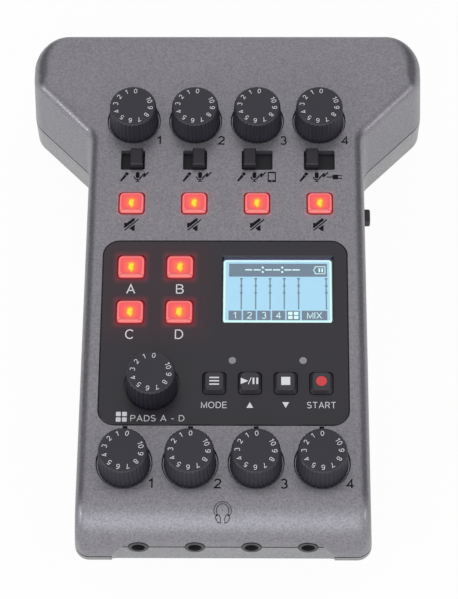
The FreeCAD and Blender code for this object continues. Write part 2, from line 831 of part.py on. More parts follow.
def is_recess_floor(edge):
    """Pick the floor's rounded outline, without its straight lower edge."""
    points = edge_points(edge)
    on_floor = all(close(p.y, number("-" + RECESS_FLOOR)) for p in points)
    return on_floor and not close(points[1].z, number("seam_height - recess_below_seam"))


round_edges(front_recess, is_recess_floor, "recess_scoop")
phone_place = [("(%s - phone_jack_from_rear)" % HALF_DEPTH, "seam_height")]
phone_hole = circles_body(
    "phone_hole", phone_place, "jack_collar_radius + jack_fit", "-(%s + 2)" % HALF_BODY, "wall + 2.5", "YZ"
)
shared_openings = join("shared_openings", "MultiFuse", [rear_openings, jack_holes, front_recess, phone_hole])

# Openings in the upper shell's sides, over the main board
USB_ROWS = ["(%s - %s)" % (HALF_DEPTH, place) for place in ("usb_first_from_rear", "usb_second_from_rear")]
USB_Z = "(%s + usb_height / 2)" % MAIN_BOARD_TOP
CARD_Y = "(%s - card_from_rear)" % HALF_DEPTH
CARD_Z = "(%s + card_slot_height / 2)" % MAIN_BOARD_TOP
POWER_Y = "(%s - power_from_rear)" % HALF_DEPTH
POWER_Z = "(%s + power_above_board)" % MAIN_BOARD_TOP
right_openings = new_body("right_openings")
right_outline = new_sketch(right_openings, "YZ", "%s - wall - 0.5" % HALF_BODY)
for y in USB_ROWS:
    rectangle(
        right_outline, y, USB_Z, "usb_width + 2 * port_clearance", "usb_height + 2 * port_clearance", "usb_height / 2"
    )
rectangle(
    right_outline,
    POWER_Y,
    POWER_Z,
    "power_lever_width + power_travel + 2 * port_clearance",
    "power_lever_height + 2 * port_clearance",
)
pad(right_openings, right_outline, "wall + 2")
left_openings = new_body("left_openings")
left_outline = new_sketch(left_openings, "YZ", "-(%s + 1.5)" % HALF_BODY)
rectangle(left_outline, CARD_Y, CARD_Z, "card_slot_width + 2 * port_clearance", "card_slot_height + 2 * port_clearance")
pad(left_openings, left_outline, "wall + 2")

upper_openings = join(
    "upper_openings", "MultiFuse", [deck_openings, key_pilots, case_pilots, shared_openings, right_openings, left_openings]
)
join("top_shell", "Cut", [upper_blank, upper_openings], node=True)

# Openings in the lower shell: screw holes, foot recesses and the battery cover with its hinge
screw_ways = circles_body("screw_ways", CASE_POSTS, "case_screw_radius + 0.25", "0", "seam_height + 1")
screw_bores = circles_body("screw_bores", CASE_POSTS, "case_bore_radius", "0", "foot_height + case_bore_depth")
main_pilots = circles_body(
    "main_pilots", MAIN_POSTS, "screw_radius + screw_fit", "main_board_height - screw_grip - 0.3", "screw_grip + 1"
)
foot_recesses = circles_body("foot_recesses", FEET, "foot_radius + 0.1", "0", "foot_height + foot_recess")
cover_opening = new_body("cover_opening")
cover_hole = new_sketch(cover_opening)
rectangle(cover_hole, "0", BAY_Y, "cover_width", "cover_length")
pad(cover_opening, cover_hole, FLOOR_TOP)
hinge_pockets = circles_body(
    "hinge_pockets",
    [(HINGE_Y, HINGE_Z)],
    "hinge_stub_radius + hinge_running_clearance",
    "-(cover_width / 2 + hinge_stub_length)",
    "cover_width + 2 * hinge_stub_length",
    "YZ",
)
lower_openings = join(
    "lower_openings",
    "MultiFuse",
    [shared_openings, screw_ways, screw_bores, main_pilots, foot_recesses, cover_opening, hinge_pockets],
)
join("bottom_shell", "Cut", [lower_standing, lower_openings], node=True)

# Display panel, window, display and status lights
panel = new_body("display_panel", node=True)
panel_outline = new_sketch(panel, "XY", "-panel_thickness")
rectangle(panel_outline, "0", PANEL_ROW, "panel_width", "panel_length", "panel_radius")
circle(panel_outline, "level_knob_x", LEVEL_ROW, "shaft_radius + shaft_hole_clearance")
for x in ("left_light_x", "right_light_x"):
    circle(panel_outline, x, LIGHT_ROW, "light_radius + light_fit")
rectangle(panel_outline, "window_x", WINDOW_ROW, "window_width", "window_length")
pad(panel, panel_outline, "panel_thickness")
level_seat = new_sketch(panel, "XY", "-seat_depth")
circle(level_seat, "level_knob_x", LEVEL_ROW, "seat_radius")
pocket(panel, level_seat, "seat_depth + 1", True)
for keys in (PAD_KEYS, TRANSPORT_KEYS):
    holes = new_sketch(panel, "XY", "-panel_thickness")
    key_openings(holes, keys)
    pocket(panel, holes, "panel_thickness + 1", True)


def is_panel_edge(edge):
    """Pick the panel's outer upper edge and the upper edge round its window."""
    points = edge_points(edge)
    if not all(close(p.z, 0) for p in points):
        return False
    half_width, half_length = number("panel_width / 2"), number("panel_length / 2")
    corner = number("panel_radius")
    x, y = abs(points[1].x), abs(points[1].y - number(PANEL_ROW))
    outer = close(x, half_width) or close(y, half_length) or (x > half_width - corner and y > half_length - corner)
    x, y = abs(points[1].x - number("window_x")), abs(points[1].y - number(WINDOW_ROW))
    window = (close(x, number("window_width / 2")) and y < 1) or (close(y, number("window_length / 2")) and x < 1)
    return outer or window


round_edges(panel, is_panel_edge, "panel_bevel", "Chamfer", "Size")
place_on_deck(panel)

window = new_body("display_window", node=True)
window_outline = new_sketch(window, "XY", "-panel_thickness - window_thickness")
rectangle(window_outline, "window_x", WINDOW_ROW, "window_width + 2 * window_lap", "window_length + 2 * window_lap")
pad(window, window_outline, "window_thickness")
place_on_deck(window)

lcd = new_body("lcd_module", node=True)
lcd_outline = new_sketch(lcd, "XY", "-wall - lcd_thickness")
LCD_WIDTH = "(window_width + 2 * window_lap + 2 * lcd_border)"
LCD_LENGTH = "(window_length + 2 * window_lap + 2 * lcd_border)"
rectangle(lcd_outline, "window_x", WINDOW_ROW, LCD_WIDTH, LCD_LENGTH)
pad(lcd, lcd_outline, "lcd_thickness")
lcd_leg = new_sketch(lcd, "XY", "-board_depth")
rectangle(
    lcd_leg, "window_x", "%s - %s / 2 + lcd_leg_length / 2" % (WINDOW_ROW, LCD_LENGTH), "window_width / 2", "lcd_leg_length"
)
pad(lcd, lcd_leg, "board_depth - wall - lcd_thickness + 0.1")
place_on_deck(lcd)

lights = circles_body(
    "status_lights",
    [("left_light_x", LIGHT_ROW), ("right_light_x", LIGHT_ROW)],
    "light_radius",
    "-board_depth",
    "board_depth + 0.1",
    node=True,
)
place_on_deck(lights)


# Knobs and shafts

KNOB_FOOT = "(knob_clearance - seat_depth)"


def make_knob():
    """Turn a tapered knob with a blind bore, then cut its shallow flutes."""
    body = new_body("knob_form")
    profile = new_sketch(body, "XZ")
    bore = "shaft_radius + shaft_fit"
    polygon(
        profile,
        [
            (bore, KNOB_FOOT),
            ("knob_radius", KNOB_FOOT),
            ("knob_top_radius", "knob_height - knob_chamfer"),
            ("knob_top_radius - knob_chamfer", "knob_height"),
            ("0", "knob_height"),
            ("0", "knob_height - cap_thickness"),
            (bore, "knob_height - cap_thickness"),
        ],
    )
    revolve(body, profile)
    sections = []
    for level, radius in ((KNOB_FOOT + " - 0.1", "knob_radius"), ("knob_height + 0.1", "knob_top_radius")):
        section = new_sketch(body, "XY", level)
        polygon(
            section,
            [
                (radius + " - flute_depth", "0"),
                (radius + " + flute_depth", "-flute_width"),
                (radius + " + flute_depth", "flute_width"),
            ],
        )
        sections.append(section)
    flute = loft(body, sections, "Subtractive")
    doc.recompute()
    pattern = body.newObject("PartDesign::PolarPattern", body.Name + "_flutes")
    pattern.Originals = [flute]
    pattern.Axis = (sections[0], ["N_Axis"])
    pattern.Angle = 360
    bind(pattern, "Occurrences", "flute_count")
    body.Tip = pattern
    return body


def make_shaft():
    """Pad a shaft up from the potentiometer into the knob and mill a flat on its upper end."""
    body = new_body("shaft_form")
    foot = "-(board_depth - pot_floor - 0.2)"
    outline = new_sketch(body, "XY", foot)
    circle(outline, "0", "0", "shaft_radius")
    pad(body, outline, "knob_height - cap_thickness - 0.2 - (%s)" % foot)
    flat = new_sketch(body, "XY", KNOB_FOOT + " + 1.4")
    rectangle(flat, "0", "2 * shaft_radius - shaft_flat", "2.2 * shaft_radius", "2 * shaft_radius")
    pocket(body, flat, "knob_height", True)
    return body


knob_form = make_knob()
shaft_form = make_shaft()
for knob, shaft, x, along in KNOBS:
    copy_of(knob_form, knob, x, along)
    copy_of(shaft_form, shaft, x, along)

pots = new_body("potentiometers", node=True)
pot_cases = new_sketch(pots, "XY", "-board_depth")
bushings = new_sketch(pots, "XY", "-board_depth + pot_height - 0.1")
pot_bores = new_sketch(pots, "XY", "-board_depth + pot_floor")
for _, _, x, along in KNOBS:
    rectangle(pot_cases, x, along, "pot_width", "pot_length")
    circle(bushings, x, along, "bushing_radius")
    circle(pot_bores, x, along, "shaft_radius + shaft_running_clearance")
pad(pots, pot_cases, "pot_height")
pad(pots, bushings, "bushing_height + 0.1")
pocket(pots, pot_bores, "board_depth", True)
place_on_deck(pots)


# Slide switches

def make_switch(label, x, slot_width, rest_side):
    """Build a lever with its shutter under the deck and a stem down into the switch; it rests at one end."""
    body = new_body(label, node=True)
    middle = "(%s + %d * (%s - lever_width - 2 * lever_clearance) / 2)" % (x, rest_side, slot_width)
    shutter_top = "-(wall + shutter_gap)"
    shutter_foot = "%s - shutter_thickness" % shutter_top
    shutter = new_sketch(body, "XY", shutter_foot)
    shutter_width = "2 * %s - lever_width - 4 * lever_clearance + 2 * shutter_lap" % slot_width
    rectangle(shutter, middle, SWITCH_ROW, shutter_width, "slot_length + 2 * shutter_lap")
    pad(body, shutter, "shutter_thickness")
    cap = new_sketch(body, "XY", shutter_foot)
    rectangle(cap, middle, SWITCH_ROW, "lever_width", "lever_length")
    pad(body, cap, "lever_height + wall + shutter_gap + shutter_thickness")
    stem = new_sketch(body, "XY", "%s - stem_depth" % shutter_foot)
    rectangle(stem, middle, SWITCH_ROW, "stem_width", "stem_width")
    pad(body, stem, "stem_depth + 0.1")

    def is_cap_top(edge):
        return all(close(p.z, number("lever_height")) for p in edge_points(edge))

    round_edges(body, is_cap_top, "key_edge", "Chamfer", "Size")
    place_on_deck(body)


for label, x, slot_width, rest_side in SWITCHES:
    make_switch(label, x, slot_width, rest_side)

frames = new_body("deck_switch_frames")
frame_outline = new_sketch(frames, "XY", "-board_depth")
frame_room = new_sketch(frames, "XY", "-board_depth + 1")
for _, x, width, _ in SWITCHES:
    room = "(%s - lever_width - 2 * lever_clearance + stem_width + 0.6)" % width
    rectangle(frame_outline, x, SWITCH_ROW, room + " + 2 * switch_frame_wall", "switch_frame_length")
    rectangle(frame_room, x, SWITCH_ROW, room, "stem_width + 0.6")
pad(frames, frame_outline, "switch_frame_height")
pocket(frames, frame_room, "board_depth", True)
place_on_deck(frames)

POWER_FACE = "(%s - wall - power_shutter_gap - shutter_thickness - shutter_gap)" % HALF_BODY
POWER_ROOM = "(power_lever_width + power_travel + 0.6)"
power_frame = new_body("power_switch_frame")
power_case = new_sketch(power_frame, "YZ", "%s - power_frame_depth" % POWER_FACE)
rectangle(power_case, POWER_Y, POWER_Z, POWER_ROOM + " + 2 * power_frame_margin", "2 * power_above_board")
pad(power_frame, power_case, "power_frame_depth")
power_cut = new_sketch(power_frame, "YZ", "%s - power_frame_depth + 1" % POWER_FACE)
rectangle(power_cut, POWER_Y, POWER_Z, POWER_ROOM, "power_lever_height + 0.6")
pocket(power_frame, power_cut, "power_frame_depth", True)
join("switch_frames", "Compound", [frames, power_frame], node=True)

power = new_body("power_switch", node=True)
power_rest = "(%s - power_travel / 2)" % POWER_Y
power_bar = new_sketch(power, "YZ", "%s - power_frame_depth + 1.4" % POWER_FACE)
rectangle(power_bar, power_rest, POWER_Z, "power_lever_width", "power_lever_height")
POWER_TIP = "(%s + power_lever_proud)" % HALF_BODY
pad(power, power_bar, "%s - (%s - power_frame_depth + 1.4)" % (POWER_TIP, POWER_FACE))
power_shutter = new_sketch(power, "YZ", "%s - wall - power_shutter_gap - shutter_thickness" % HALF_BODY)
rectangle(
    power_shutter, power_rest, POWER_Z, "power_lever_width + 2 * power_travel + 2 * shutter_lap", "power_lever_height + 1.1"
)
pad(power, power_shutter, "shutter_thickness")


def is_power_tip(edge):
    return all(close(p.x, number(POWER_TIP)) for p in edge_points(edge))


round_edges(power, is_power_tip, "key_edge", "Chamfer", "Size")


# Keys and tact switches

def make_key(label, width, length):
    """Build a tapered key cap on a body through its opening, with a flange under the deck and a stem."""
    body = new_body(label)
    flange_top = "-(wall + key_flange_gap)"
    trunk = new_sketch(body, "XY", flange_top)
    rectangle(trunk, "0", "0", width, length, "key_radius")
    pad(body, trunk, "wall + key_flange_gap")
    foot = new_sketch(body, "XY", "0")
    rectangle(foot, "0", "0", width, length, "key_radius")
    crown = new_sketch(body, "XY", "key_height")
    rectangle(crown, "0", "0", width + " - 2 * key_top_inset", length + " - 2 * key_top_inset", "key_radius")
    loft(body, [foot, crown])

    def is_crown(edge):
        return all(close(p.z, number("key_height")) for p in edge_points(edge))

    round_edges(body, is_crown, "key_edge")
    flange = new_sketch(body, "XY", "%s - key_flange_thickness" % flange_top)
    rectangle(flange, "0", "0", width + " + 2 * key_flange", length + " + 2 * key_flange")
    pad(body, flange, "key_flange_thickness")
    stem_foot = "-(%s - key_travel - key_stop_gap)" % TACT_TOP
    stem = new_sketch(body, "XY", stem_foot)
    circle(stem, "0", "0", "key_stem_radius")
    pad(body, stem, "%s - key_flange_thickness - (%s) + 0.1" % (flange_top, stem_foot))
    return body


for family, keys in (("mute", MUTE_KEYS), ("pad", PAD_KEYS), ("transport", TRANSPORT_KEYS)):
    key_form = make_key(family + "_key_form", "%s_key_width" % family, "%s_key_length" % family)
    for label, x, along, _, _ in keys:
        copy_of(key_form, label, x, along)

tacts = new_body("tact_switches", node=True)
tact_cases = new_sketch(tacts, "XY", "-board_depth")
plungers = new_sketch(tacts, "XY", "-board_depth + tact_height - 0.1")
for _, x, along, _, _ in KEYS:
    rectangle(tact_cases, x, along, "tact_width", "tact_width")
    circle(plungers, x, along, "plunger_radius")
pad(tacts, tact_cases, "tact_height")
pad(tacts, plungers, "plunger_height + 0.1")
place_on_deck(tacts)

# Boards
key_board = new_body("key_board", node=True)
key_board_outline = new_sketch(key_board, "XY", "-board_depth - board_thickness")
KEY_BOARD_FRONT = "(key_board_front_from_front - %s)" % HALF_DEPTH
KEY_BOARD_REAR = "(%s - key_board_rear_from_rear)" % HALF_DEPTH
polygon(
    key_board_outline,
    [
        ("-board_width / 2", KEY_BOARD_FRONT),
        ("board_width / 2", KEY_BOARD_FRONT),
        ("board_width / 2", KEY_BOARD_REAR),
        ("-board_width / 2", KEY_BOARD_REAR),
    ],
)
for x, along in KEY_POSTS:
    circle(key_board_outline, x, along, "screw_radius + 0.15")
for x, y in CASE_POSTS[:2]:
    along = "(%s - board_depth * sin%s) / cos%s" % (y, TILT, TILT)
    circle(key_board_outline, x, along, "case_post_upper_radius + post_clearance")
pad(key_board, key_board_outline, "board_thickness")
place_on_deck(key_board)

main_board = new_body("main_board", node=True)
main_board_outline = new_sketch(main_board, "XY", "main_board_height")
MAIN_BOARD_FRONT = "(main_board_front_from_front - %s)" % HALF_DEPTH
MAIN_BOARD_REAR = "(%s - main_board_rear_from_rear)" % HALF_DEPTH
polygon(
    main_board_outline,
    [
        ("-board_width / 2", MAIN_BOARD_FRONT),
        ("board_width / 2", MAIN_BOARD_FRONT),
        ("board_width / 2", MAIN_BOARD_REAR),
        ("-board_width / 2", MAIN_BOARD_REAR),
    ],
)
for x, y in MAIN_POSTS:
    circle(main_board_outline, x, y, "screw_radius + 0.15")
for x, y in CASE_POSTS[:2]:
    circle(main_board_outline, x, y, "case_post_upper_radius + post_clearance")
pad(main_board, main_board_outline, "board_thickness")


# Screws

def make_screws(label, places, shank_radius, head_radius, shank_foot, shank_length, head_level, head_height):
    """Pad a shank and a head at each place."""
    body = circles_body(label, places, shank_radius, shank_foot, shank_length)
    heads = new_sketch(body, "XY", head_level)
    for x, y in places:
        circle(heads, x, y, head_radius)
    pad(body, heads, head_height)
    return body


key_screws = make_screws(
    "key_board_screws",
    KEY_POSTS,
    "screw_radius",
    "screw_head_radius",
    "-board_depth - board_thickness - 0.1",
    "board_thickness + screw_grip",
    "-board_depth - board_thickness - screw_head_height",
    "screw_head_height",
)
place_on_deck(key_screws)
main_screws = make_screws(
    "main_board_screws",
    MAIN_POSTS,
    "screw_radius",
    "screw_head_radius",
    "main_board_height - screw_grip",
    "board_thickness + screw_grip + 0.1",
    MAIN_BOARD_TOP,
    "screw_head_height",
)
join("board_screws", "Compound", [key_screws, main_screws], node=True)
case_screws = make_screws(
    "case_screws",
    CASE_POSTS,
    "case_screw_radius",
    "case_head_radius",
    "foot_height + case_bore_depth - 0.1",
    "seam_height + case_screw_grip - foot_height - case_bore_depth",
    "foot_height + case_bore_depth - case_head_height",
    "case_head_height",
)
nodes["case_screws"] = case_screws

# Microphone sockets: flanged housings, and the inserts that hold their contacts
sockets = new_body("xlr_sockets", node=True)
inserts = new_body("xlr_inserts", node=True)
SOCKET_BACK = "-(%s - socket_depth - 1)" % HALF_DEPTH
WELL_FLOOR = "-(%s - socket_groove_depth)" % HALF_DEPTH
barrel = new_sketch(sockets, "XZ", "-" + HALF_DEPTH)
flange = new_sketch(sockets, "XZ", "-(%s - wall - socket_flange_gap)" % HALF_DEPTH)
well = new_sketch(sockets, "XZ", WELL_FLOOR)
insert_outline = new_sketch(inserts, "XZ", "-" + HALF_DEPTH)
keyways = new_sketch(inserts, "XZ", WELL_FLOOR)
contact_ways = [new_sketch(body, "XZ", SOCKET_BACK) for body in (sockets, inserts)]
contact_places = []
for x, z in socket_places:
    circle(barrel, x, z, "socket_radius")
    circle(flange, x, z, "socket_flange_radius")
    circle(well, x, z, "socket_groove_radius")
    circle(insert_outline, x, z, "socket_insert_radius")
    keyway_z = "%s + socket_insert_radius - socket_key_depth / 2" % z
    rectangle(keyways, x, keyway_z, "socket_key_width", "socket_key_depth + 0.6")
    for degrees in (0, 180, 270):
        contact_x = "(%s + contact_circle_radius * cos(%ddeg))" % (x, degrees)
        contact_z = "(%s + contact_circle_radius * sin(%ddeg))" % (z, degrees)
        contact_places.append((contact_x, contact_z))
        for ways in contact_ways:
            circle(ways, contact_x, contact_z, "contact_radius + contact_fit")
pad(sockets, barrel, "socket_depth")
pad(sockets, flange, "socket_flange_thickness")
pocket(sockets, well, "socket_groove_depth + 1")
pocket(sockets, contact_ways[0], "socket_depth + 3")
pad(inserts, insert_outline, "socket_groove_depth")
pocket(inserts, keyways, "socket_groove_depth + 1")
pocket(inserts, contact_ways[1], "socket_depth + 3")

contacts = circles_body(
    "xlr_contacts",
    contact_places,
    "contact_radius",
    "-(%s - contact_setback)" % HALF_DEPTH,
    "socket_depth - contact_setback + contact_tail",
    "XZ",
    node=True,
)
contact_bores = new_sketch(contacts, "XZ", "-(%s - contact_setback - contact_bore_depth)" % HALF_DEPTH)
for x, z in contact_places:
    circle(contact_bores, x, z, "contact_bore_radius")
pocket(contacts, contact_bores, "contact_bore_depth + 1")


# Headphone and phone jacks

def make_jacks(label, plane, places, body_rear, mouth, outward):
    """Build jack bodies under the main board, with a collar through the case and a plug bore."""
    body = new_body(label, node=True)
    cases = new_sketch(body, plane, body_rear)
    collars = new_sketch(body, plane, "(%s) + %d * (jack_body_length - 0.1)" % (body_rear, outward))
    bores = new_sketch(body, plane, "(%s) - %d * jack_bore_length" % (mouth, outward))
    height = "(main_board_height - seam_height + jack_below_axis)"
    for across, z in places:
        rectangle(cases, across, "%s - jack_below_axis + %s / 2" % (z, height), "jack_width", height)
        circle(collars, across, z, "jack_collar_radius")
        circle(bores, across, z, "jack_bore_radius")
    backwards = outward < 0
    pad(body, cases, "jack_body_length", backwards)
    pad(body, collars, "%d * ((%s) - (%s)) - jack_body_length + 0.1" % (outward, mouth, body_rear), backwards)
    pocket(body, bores, "jack_bore_length + 1", not backwards)
    return body


PHONES_MOUTH = "(%s + jack_collar_proud)" % RECESS_FLOOR
make_jacks(
    "phones_jacks", "XZ", jack_places, "%s - jack_seat_gap - jack_body_length" % FRONT_ROOM, PHONES_MOUTH, 1
)
make_jacks(
    "phone_input_jack",
    "YZ",
    phone_place,
    "-(%s - wall - jack_seat_gap - jack_body_length)" % HALF_BODY,
    "-(%s + jack_collar_proud / 2)" % HALF_BODY,
    -1,
)

# USB ports, card slot
usb = new_body("usb_ports", node=True)
USB_MOUTH = "(%s - usb_setback)" % HALF_BODY
usb_shells = new_sketch(usb, "YZ", "%s - usb_depth" % USB_MOUTH)
usb_rooms = new_sketch(usb, "YZ", "%s - usb_depth + 1" % USB_MOUTH)
usb_tongues = new_sketch(usb, "YZ", "%s - usb_depth + 0.9" % USB_MOUTH)
for y in USB_ROWS:
    rectangle(usb_shells, y, USB_Z, "usb_width", "usb_height", "usb_height / 2 - 0.05")
    rectangle(
        usb_rooms, y, USB_Z, "usb_width - 2 * usb_skin", "usb_height - 2 * usb_skin", "usb_height / 2 - usb_skin - 0.05"
    )
    rectangle(usb_tongues, y, USB_Z, "usb_tongue_width", "usb_tongue_thickness")
pad(usb, usb_shells, "usb_depth")
pocket(usb, usb_rooms, "usb_depth", True)
pad(usb, usb_tongues, "usb_depth - 1.6")

card = new_body("card_slot", node=True)
CARD_MOUTH = "(%s - usb_setback)" % HALF_BODY
card_shell = new_sketch(card, "YZ", "-%s" % CARD_MOUTH)
rectangle(card_shell, CARD_Y, CARD_Z, "card_slot_width", "card_slot_height")
pad(card, card_shell, "card_slot_depth")
card_room = new_sketch(card, "YZ", "-%s + card_slot_depth - 1.5" % CARD_MOUTH)
rectangle(card_room, CARD_Y, CARD_Z, "card_slot_width - 4 * card_slot_skin", "card_slot_height - 2 * card_slot_skin")
pocket(card, card_room, "card_slot_depth")

# Battery bay: two cells lying across the case, their contacts and the hinged cover
cells = new_body("batteries", node=True)
CELL_ROWS = ["(%s + %s * cell_pitch)" % (BAY_Y, half) for half in (-0.5, 0.5)]
cell_outline = new_sketch(cells, "YZ", "-cell_length / 2")
for y in CELL_ROWS:
    circle(cell_outline, y, CELL_Z, "cell_radius")
pad(cells, cell_outline, "cell_length")
for y, side in zip(CELL_ROWS, (-1, 1)):
    nub = new_sketch(cells, "YZ", "%d * (cell_length / 2 - 0.1)" % side)
    circle(nub, y, CELL_Z, "cell_nub_radius")
    pad(cells, nub, "cell_nub_length + 0.1", side < 0)

springs = new_body("battery_contacts", node=True)
PLATE_FACE = "(bay_width / 2 - contact_gap - contact_plate_thickness)"
for side in (-1, 1):
    plates = new_sketch(springs, "YZ", "%d * %s" % (side, PLATE_FACE))
    for y in CELL_ROWS:
        rectangle(plates, y, CELL_Z, "contact_plate_width", "contact_plate_height")
    pad(springs, plates, "contact_plate_thickness", side < 0)
    for y, nub_side in zip(CELL_ROWS, (-1, 1)):
        touches_nub = nub_side == side
        radius = "contact_dimple_radius" if touches_nub else "contact_spring_radius"
        end = "(cell_length / 2 + contact_gap%s)" % (" + cell_nub_length" if touches_nub else "")
        button = new_sketch(springs, "YZ", "%d * %s" % (side, end))
        circle(button, y, CELL_Z, radius)
        pad(springs, button, "%s - %s + 0.1" % (PLATE_FACE, end), side < 0)

cover = new_body("battery_cover", node=True)
COVER_REAR = "(%s + cover_length / 2 - cover_gap)" % BAY_Y
COVER_WIDTH = "(cover_width - 2 * cover_gap)"
cover_plate = new_sketch(cover, "XY", "foot_height")
rectangle(cover_plate, "0", "(%s + %s) / 2" % (HINGE_Y, COVER_REAR), COVER_WIDTH, "%s - %s" % (COVER_REAR, HINGE_Y))
pad(cover, cover_plate, "cover_thickness")
knuckle = new_sketch(cover, "YZ", "-%s / 2" % COVER_WIDTH)
circle(knuckle, HINGE_Y, HINGE_Z, "cover_thickness / 2")
pad(cover, knuckle, COVER_WIDTH)
STUB_SPAN = "(cover_width + 2 * hinge_stub_length - 2 * cover_gap)"
stubs = new_sketch(cover, "YZ", "-%s / 2" % STUB_SPAN)
circle(stubs, HINGE_Y, HINGE_Z, "hinge_stub_radius")
pad(cover, stubs, STUB_SPAN)
grip = new_sketch(cover, "XY", "foot_height + cover_grip_depth")
rectangle(grip, "0", "%s - 2 * cover_grip_length" % COVER_REAR, "cover_grip_width", "cover_grip_length", "cover_grip_length / 3")
pocket(cover, grip, "cover_grip_depth + 1")

circles_body("rubber_feet", FEET, "foot_radius", "0", "foot_height + foot_recess", node=True)

# Finish, check and write every piece
doc.recompute()
faults = [thing.Label for thing in doc.Objects if "Invalid" in thing.State or "Error" in thing.State]
faults += [label for label, thing in nodes.items() if thing.Shape.isNull() or not thing.Shape.isValid()]
if faults:
    raise RuntimeError("these pieces failed: " + ", ".join(sorted(set(faults))))
for label, thing in nodes.items():
    thing.Shape.exportStep("parts/%s.step" % label)
    box = thing.Shape.BoundBox
    print(
        "%-18s %2d solids %9.1f mm3  x %6.1f %6.1f  y %6.1f %6.1f  z %6.1f %6.1f"
        % (label, len(thing.Shape.Solids), thing.Shape.Volume, box.XMin, box.XMax, box.YMin, box.YMax, box.ZMin, box.ZMax)
    )
print(len(nodes), "pieces written")
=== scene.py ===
import math

import bmesh
import bpy
from mathutils import Matrix, Vector


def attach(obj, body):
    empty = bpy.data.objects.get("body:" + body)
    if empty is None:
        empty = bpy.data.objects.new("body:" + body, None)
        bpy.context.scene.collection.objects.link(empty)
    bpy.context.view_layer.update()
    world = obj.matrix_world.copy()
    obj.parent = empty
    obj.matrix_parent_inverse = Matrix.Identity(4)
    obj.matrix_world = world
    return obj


# Four-channel podcast recorder. Drawn sizes are in millimetres; meshes are placed in metres.
# The deck, the sloping upper face, has its own axes: across, along towards the rear, and out of it.

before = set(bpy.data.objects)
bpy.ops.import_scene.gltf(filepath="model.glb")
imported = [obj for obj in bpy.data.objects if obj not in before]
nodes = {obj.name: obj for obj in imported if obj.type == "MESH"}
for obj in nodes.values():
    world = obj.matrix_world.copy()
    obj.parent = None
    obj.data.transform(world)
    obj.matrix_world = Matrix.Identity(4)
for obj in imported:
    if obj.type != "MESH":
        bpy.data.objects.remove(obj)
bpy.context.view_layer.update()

MM = 0.001
DECK_HEIGHT = 36.4
DECK_TILT = math.radians(3)
DECK = Matrix.Translation((0, 0, DECK_HEIGHT * MM)) @ Matrix.Rotation(DECK_TILT, 4, "X") @ Matrix.Scale(MM, 4)
INK = 0.03
CHANNELS = (1, 2, 3, 4)
PADS = "abcd"


def deck_box(node, above=-math.inf):
    """Lowest and highest corner, in deck millimetres, of a CAD node or of its part above a level."""
    to_deck = DECK.inverted()
    places = [to_deck @ vertex.co for vertex in nodes[node].data.vertices]
    places = [place for place in places if place.z > above]
    low = Vector([min(place[axis] for place in places) for axis in range(3)])
    high = Vector([max(place[axis] for place in places) for axis in range(3)])
    return low, high


def deck_middle(node):
    """Middle of a CAD node across and along the deck, and its top."""
    low, high = deck_box(node)
    return (low.x + high.x) / 2, (low.y + high.y) / 2, high.z


# Colours, linear

def srgb(red, green, blue):
    """A colour as a picture shows it, 0 to 255, made linear."""
    def linear(value):
        value /= 255
        return value / 12.92 if value <= 0.04045 else ((value + 0.055) / 1.055) ** 2.4

    return (linear(red), linear(green), linear(blue), 1.0)


# Nodes. Each helper works in the tree of the sockets that it is given.

SOCKET_KINDS = {float: "Float", int: "Int", tuple: "Color"}


def add_sockets(group, way, sockets):
    """Sockets of a group, each with its kind or with a default whose type gives the kind."""
    for label, default in sockets.items():
        kind = default if isinstance(default, str) else SOCKET_KINDS[type(default)]
        socket = group.interface.new_socket(label, in_out=way, socket_type="NodeSocket" + kind)
        if kind != default:
            socket.default_value = default


def new_group(name, inputs, outputs, tree_type="ShaderNodeTree"):
    """A node group, the sockets that it is given and those that it makes."""
    group = bpy.data.node_groups.new(name, tree_type)
    add_sockets(group, "INPUT", inputs)
    add_sockets(group, "OUTPUT", outputs)
    return group, group.nodes.new("NodeGroupInput").outputs, group.nodes.new("NodeGroupOutput").inputs


def link(start, end):
    """Link one socket to another."""
    start.id_data.links.new(start, end)


def feed(socket, value):
    """Set a socket to a number, or link another socket to it."""
    if isinstance(value, (int, float)):
        socket.default_value = value
    else:
        link(value, socket)


def math_node(operation, *values):
    """A Math node's result; each value is a number or a socket, and one at least is a socket."""
    sockets = [value for value in values if not isinstance(value, (int, float))]
    node = sockets[0].id_data.nodes.new("ShaderNodeMath")
    node.operation = operation
    for socket, value in zip(node.inputs, values):
        feed(socket, value)
    return node.outputs[0]


def plus(first, second):
    """Their sum."""
    return math_node("ADD", first, second)


def minus(first, second):
    """The first less the second."""
    return math_node("SUBTRACT", first, second)


def times(first, second):
    """Their product."""
    return math_node("MULTIPLY", first, second)


def over(first, second):
    """The first divided by the second."""
    return math_node("DIVIDE", first, second)


def parts_of(vector):
    """The three parts of a vector."""
    apart = vector.id_data.nodes.new("ShaderNodeSeparateXYZ")
    link(vector, apart.inputs[0])
    return apart.outputs


def noise_value(vector, scale, detail):
    """A noise texture's value, from 0 to 1."""
    noise = vector.id_data.nodes.new("ShaderNodeTexNoise")
    noise.inputs["Detail"].default_value = detail
    link(vector, noise.inputs["Vector"])
    feed(noise.inputs["Scale"], scale)
    return noise.outputs[0]


def wandering(vector, scale, detail):
    """A noise about 0."""
    return minus(noise_value(vector, scale, detail), 0.5)


def faded(value, start, end):
    """0 before the start and 1 past the end, smooth between; the start may be the larger."""
    ramp = value.id_data.nodes.new("ShaderNodeMapRange")
    ramp.interpolation_type = "SMOOTHSTEP"
    ramp.inputs["From Min"].default_value = start
    ramp.inputs["From Max"].default_value = end
    link(value, ramp.inputs["Value"])
    return ramp.outputs[0]


def blended(factor, first, second):
    """One colour over another by a factor."""
    mix = factor.id_data.nodes.new("ShaderNodeMix")
    mix.data_type = "RGBA"
    link(factor, mix.inputs["Factor"])
    link(first, mix.inputs[6])
    link(second, mix.inputs[7])
    return mix.outputs[2]


